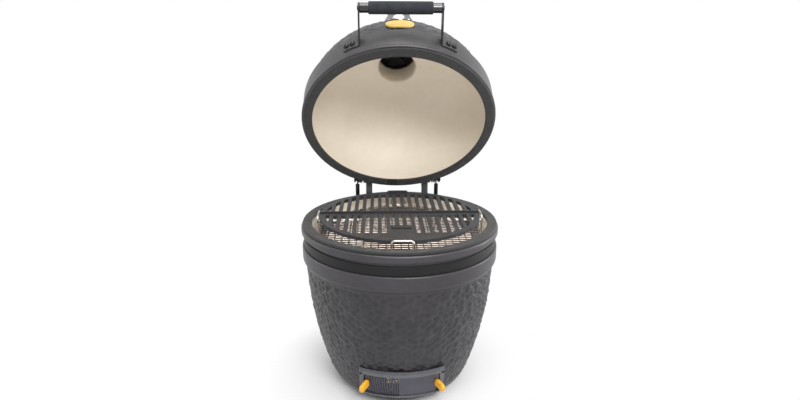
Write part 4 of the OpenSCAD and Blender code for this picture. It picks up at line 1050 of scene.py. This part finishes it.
thermometerParts = {
    "thermometerFoot": {
        "corners": [(0.0042, 0.0003, 0), (0.0200, -0.0004, 0), (0.0388, -0.0022, 0.0006),
                    (0.0382, 0.0012, 0.0012), (0.0325, 0.0098, 0.002), (0.0320, 0.0120, 0.0008),
                    (0.0042, 0.0120, 0)],
        "finish": caseBright, "slot": "polished_case", "node": "thermometer_foot"},
    "thermometerCase": {
        "corners": [(0.0042, 0.0122, 0), (0.0310, 0.0122, 0.0010), (0.0310, 0.0216, 0.0004),
                    (0.0304, 0.0222, 0.0004), (0.0304, 0.0232, 0.0004), (0.0310, 0.0238, 0.0004),
                    (0.0310, 0.0302, 0.0022), (0.0280, 0.0302, 0.0008), (0.0280, 0.0220, 0.0002),
                    (0.0042, 0.0220, 0)],
        "finish": caseBright, "slot": "polished_case", "node": "thermometer_case"},
    "thermometerLens": {
        "corners": [(0, 0.0272, 0), (0.0278, 0.0272, 0.0003), (0.0278, 0.0284, 0.0003),
                    (0.0180, 0.0290, 0.002), (0, 0.0292, 0)],
        "finish": lensGlass, "slot": "clear_lens", "node": "thermometer_lens"},
}
for name, spec in thermometerParts.items():
    sides = 96
    profile = roundPath(spec["corners"], steps=6)
    points = openLid(onDome(lathe(profile, sides), domeSpec["thermometer"]))
    piece = makePiece(name, points, gridQuads(len(profile), sides), [spec["finish"]], weld=True)
    settle(piece, "lid", spec["slot"], spec["node"])
finishedCopy("thermometer_dial", dialWhite, "lid", "dial_white", edge=0.0)
finishedCopy("thermometer_pointer", needleRed, "pointer", "needle_red", edge=0.0002)
finishedCopy("thermometer_stem", wireSteel, "lid", "bright_steel", edge=0.0005)

dialSpec = {"face": 0.02325, "rim": 0.0262, "long": 0.0040, "longHalf": 0.00045, "short": 0.0022,
            "shortHalf": 0.00022, "steps": 35, "from": math.radians(225), "sweep": math.radians(270)}


def buildDialMarks(s):
    # thin bars stand round the dial over three quarters of a turn, every fifth one longer, as one mesh with
    # flat tops
    k = np.arange(s["steps"] + 1)
    angle = (s["from"] - s["sweep"] * k / s["steps"])[:, None]
    major = k % 5 == 0
    long = np.where(major, s["long"], s["short"])
    half = np.where(major, s["longHalf"], s["shortHalf"])
    r = s["rim"] - long[:, None] * np.array([1, 1, 0, 0])
    side = half[:, None] * np.array([-1, 1, 1, -1])
    x = r * np.cos(angle) - side * np.sin(angle)
    y = r * np.sin(angle) + side * np.cos(angle)
    low = stacked(x, y, s["face"] - 0.0001)
    high = stacked(x, y, s["face"] + 0.00012)
    points = np.concatenate([low, high], axis=1)
    box = np.array([[3, 2, 1, 0], [4, 5, 6, 7], [1, 5, 4, 0], [2, 6, 5, 1], [3, 7, 6, 2], [0, 4, 7, 3]])
    quads = (box[None] + (k * 8)[:, None, None]).reshape(-1, 4)
    return makePiece("dialMarks", openLid(onDome(points, domeSpec["thermometer"])), quads, [markBlack])


settle(buildDialMarks(dialSpec), "lid", "dial_white")

# Top vent

finishedCopy("vent_base", ventIron, "lid", "vent_iron", edge=0.0008)
finishedCopy("vent_wheel", ventIron, "vent_wheel", "vent_iron", edge=0.0008)
finishedCopy("vent_pivot", wireSteel, "lid", "bright_steel", edge=0.0005)
print("badge, thermometer and vent done")

# Floor, backdrop light and lamps

stageSpec = {"size": 14.0, "floor": (0.82, 0.82, 0.82, 1), "world": 0.42, "near": 0.16, "far": 0.40}
half = stageSpec["size"] / 2
corners = [(-half, -half, 0), (half, -half, 0), (half, half, 0), (-half, half, 0)]
floorMesh = bpy.data.meshes.new("floor")
floorMesh.from_pydata(corners, [], [(0, 1, 2, 3)])
floor = bpy.data.objects.new("floor", floorMesh)
scene.collection.objects.link(floor)


def seenRays(tree):
    # one where a ray comes from the camera, a mirror or a glass, and zero for the rays that carry light
    rays = tree.nodes.new("ShaderNodeLightPath").outputs
    both = {0: rays["Is Camera Ray"], 1: rays["Is Transmission Ray"]}
    seen = addNode(tree, "Math", both, operation="MAXIMUM")
    return addNode(tree, "Math", {0: seen, 1: rays["Is Glossy Ray"]}, operation="MAXIMUM")


floorFinish = bpy.data.materials.new("paleFloor")
floorFinish.use_nodes = True
floorTree = floorFinish.node_tree
floorShader = floorTree.nodes["Principled BSDF"]
feed(floorTree, floorShader, {"Base Color": stageSpec["floor"], "Roughness": 0.9})
# far from the grill the floor is plain white, and near it the floor keeps the shadow
where = addNode(floorTree, "TexCoord", out="Object")
distance = addNode(floorTree, "VectorMath", {0: where}, "Value", operation="LENGTH")
fade = addNode(floorTree, "MapRange", {0: distance, 1: stageSpec["near"], 2: stageSpec["far"]})
share = addNode(floorTree, "Math", {0: fade, 1: seenRays(floorTree)}, operation="MULTIPLY")
glow = addNode(floorTree, "Emission")
blend = addNode(floorTree, "MixShader", {0: share, 1: floorShader.outputs[0], 2: glow})
feed(floorTree, floorTree.nodes["Material Output"], {"Surface": blend})
floorMesh.materials.append(floorFinish)

world = bpy.data.worlds.new("studio")
scene.world = world
world.use_nodes = True
worldTree = world.node_tree
worldTree.nodes.clear()
white = addNode(worldTree, "Background", {"Color": (1, 1, 1, 1)})
soft = addNode(worldTree, "Background", {"Color": (0.97, 0.98, 1.0, 1), "Strength": stageSpec["world"]})
backdrop = addNode(worldTree, "MixShader", {0: seenRays(worldTree), 1: soft, 2: white})
feed(worldTree, worldTree.nodes.new("ShaderNodeOutputWorld"), {"Surface": backdrop})

lampSpecs = {
    "frontKey": {"place": (0.7, -2.5, 2.4), "aim": (0, 0.1, 0.7), "size": (1.3, 1.0), "power": 64},
    "topStrip": {"place": (0, -1.3, 2.7), "aim": (0, 0.05, 0.9), "size": (1.8, 0.15), "power": 14},
    "leftStrip": {"place": (-1.9, 0.3, 0.9), "aim": (0, 0, 0.4), "size": (0.5, 1.6), "power": 7},
    "rightStrip": {"place": (1.9, 0.3, 0.9), "aim": (0, 0, 0.4), "size": (0.5, 1.6), "power": 20},
    "above": {"place": (0.2, -0.4, 2.9), "aim": (0, 0.1, 0.6), "size": (1.6, 1.6), "power": 18},
    "sheen": {"place": (0, -0.2, 2.9), "aim": (0, 0.1, 0.9), "size": (2.2, 1.6), "power": 30},
    "underGrates": {"place": (0, 0, 0.4775), "aim": (0, 0.001, 0.1), "size": (0.36, 0.36), "power": 0.36},
    "inFireRing": {"place": (0, -0.12, 0.4050), "aim": (0, 0.25, 0.36), "size": (0.26, 0.05), "power": 1.45},
}
for name, spec in lampSpecs.items():
    lampData = bpy.data.lights.new(name, "AREA")
    lampData.shape = "RECTANGLE"
    lampData.size = spec["size"][0]
    lampData.size_y = spec["size"][1]
    lampData.energy = spec["power"]
    lamp = bpy.data.objects.new(name, lampData)
    lamp.location = spec["place"]
    lamp.visible_camera = False
    # the two small lamps inside the base don't show in the bright wires
    lamp.visible_glossy = name not in ("underGrates", "inFireRing")
    # the sheen shows in glaze and steel alone, as a wide soft box does
    lamp.visible_diffuse = name != "sheen"
    lamp.rotation_euler = (Vector(spec["aim"]) - Vector(spec["place"])).to_track_quat("-Z", "Y").to_euler()
    scene.collection.objects.link(lamp)
print("stage and lamps done")
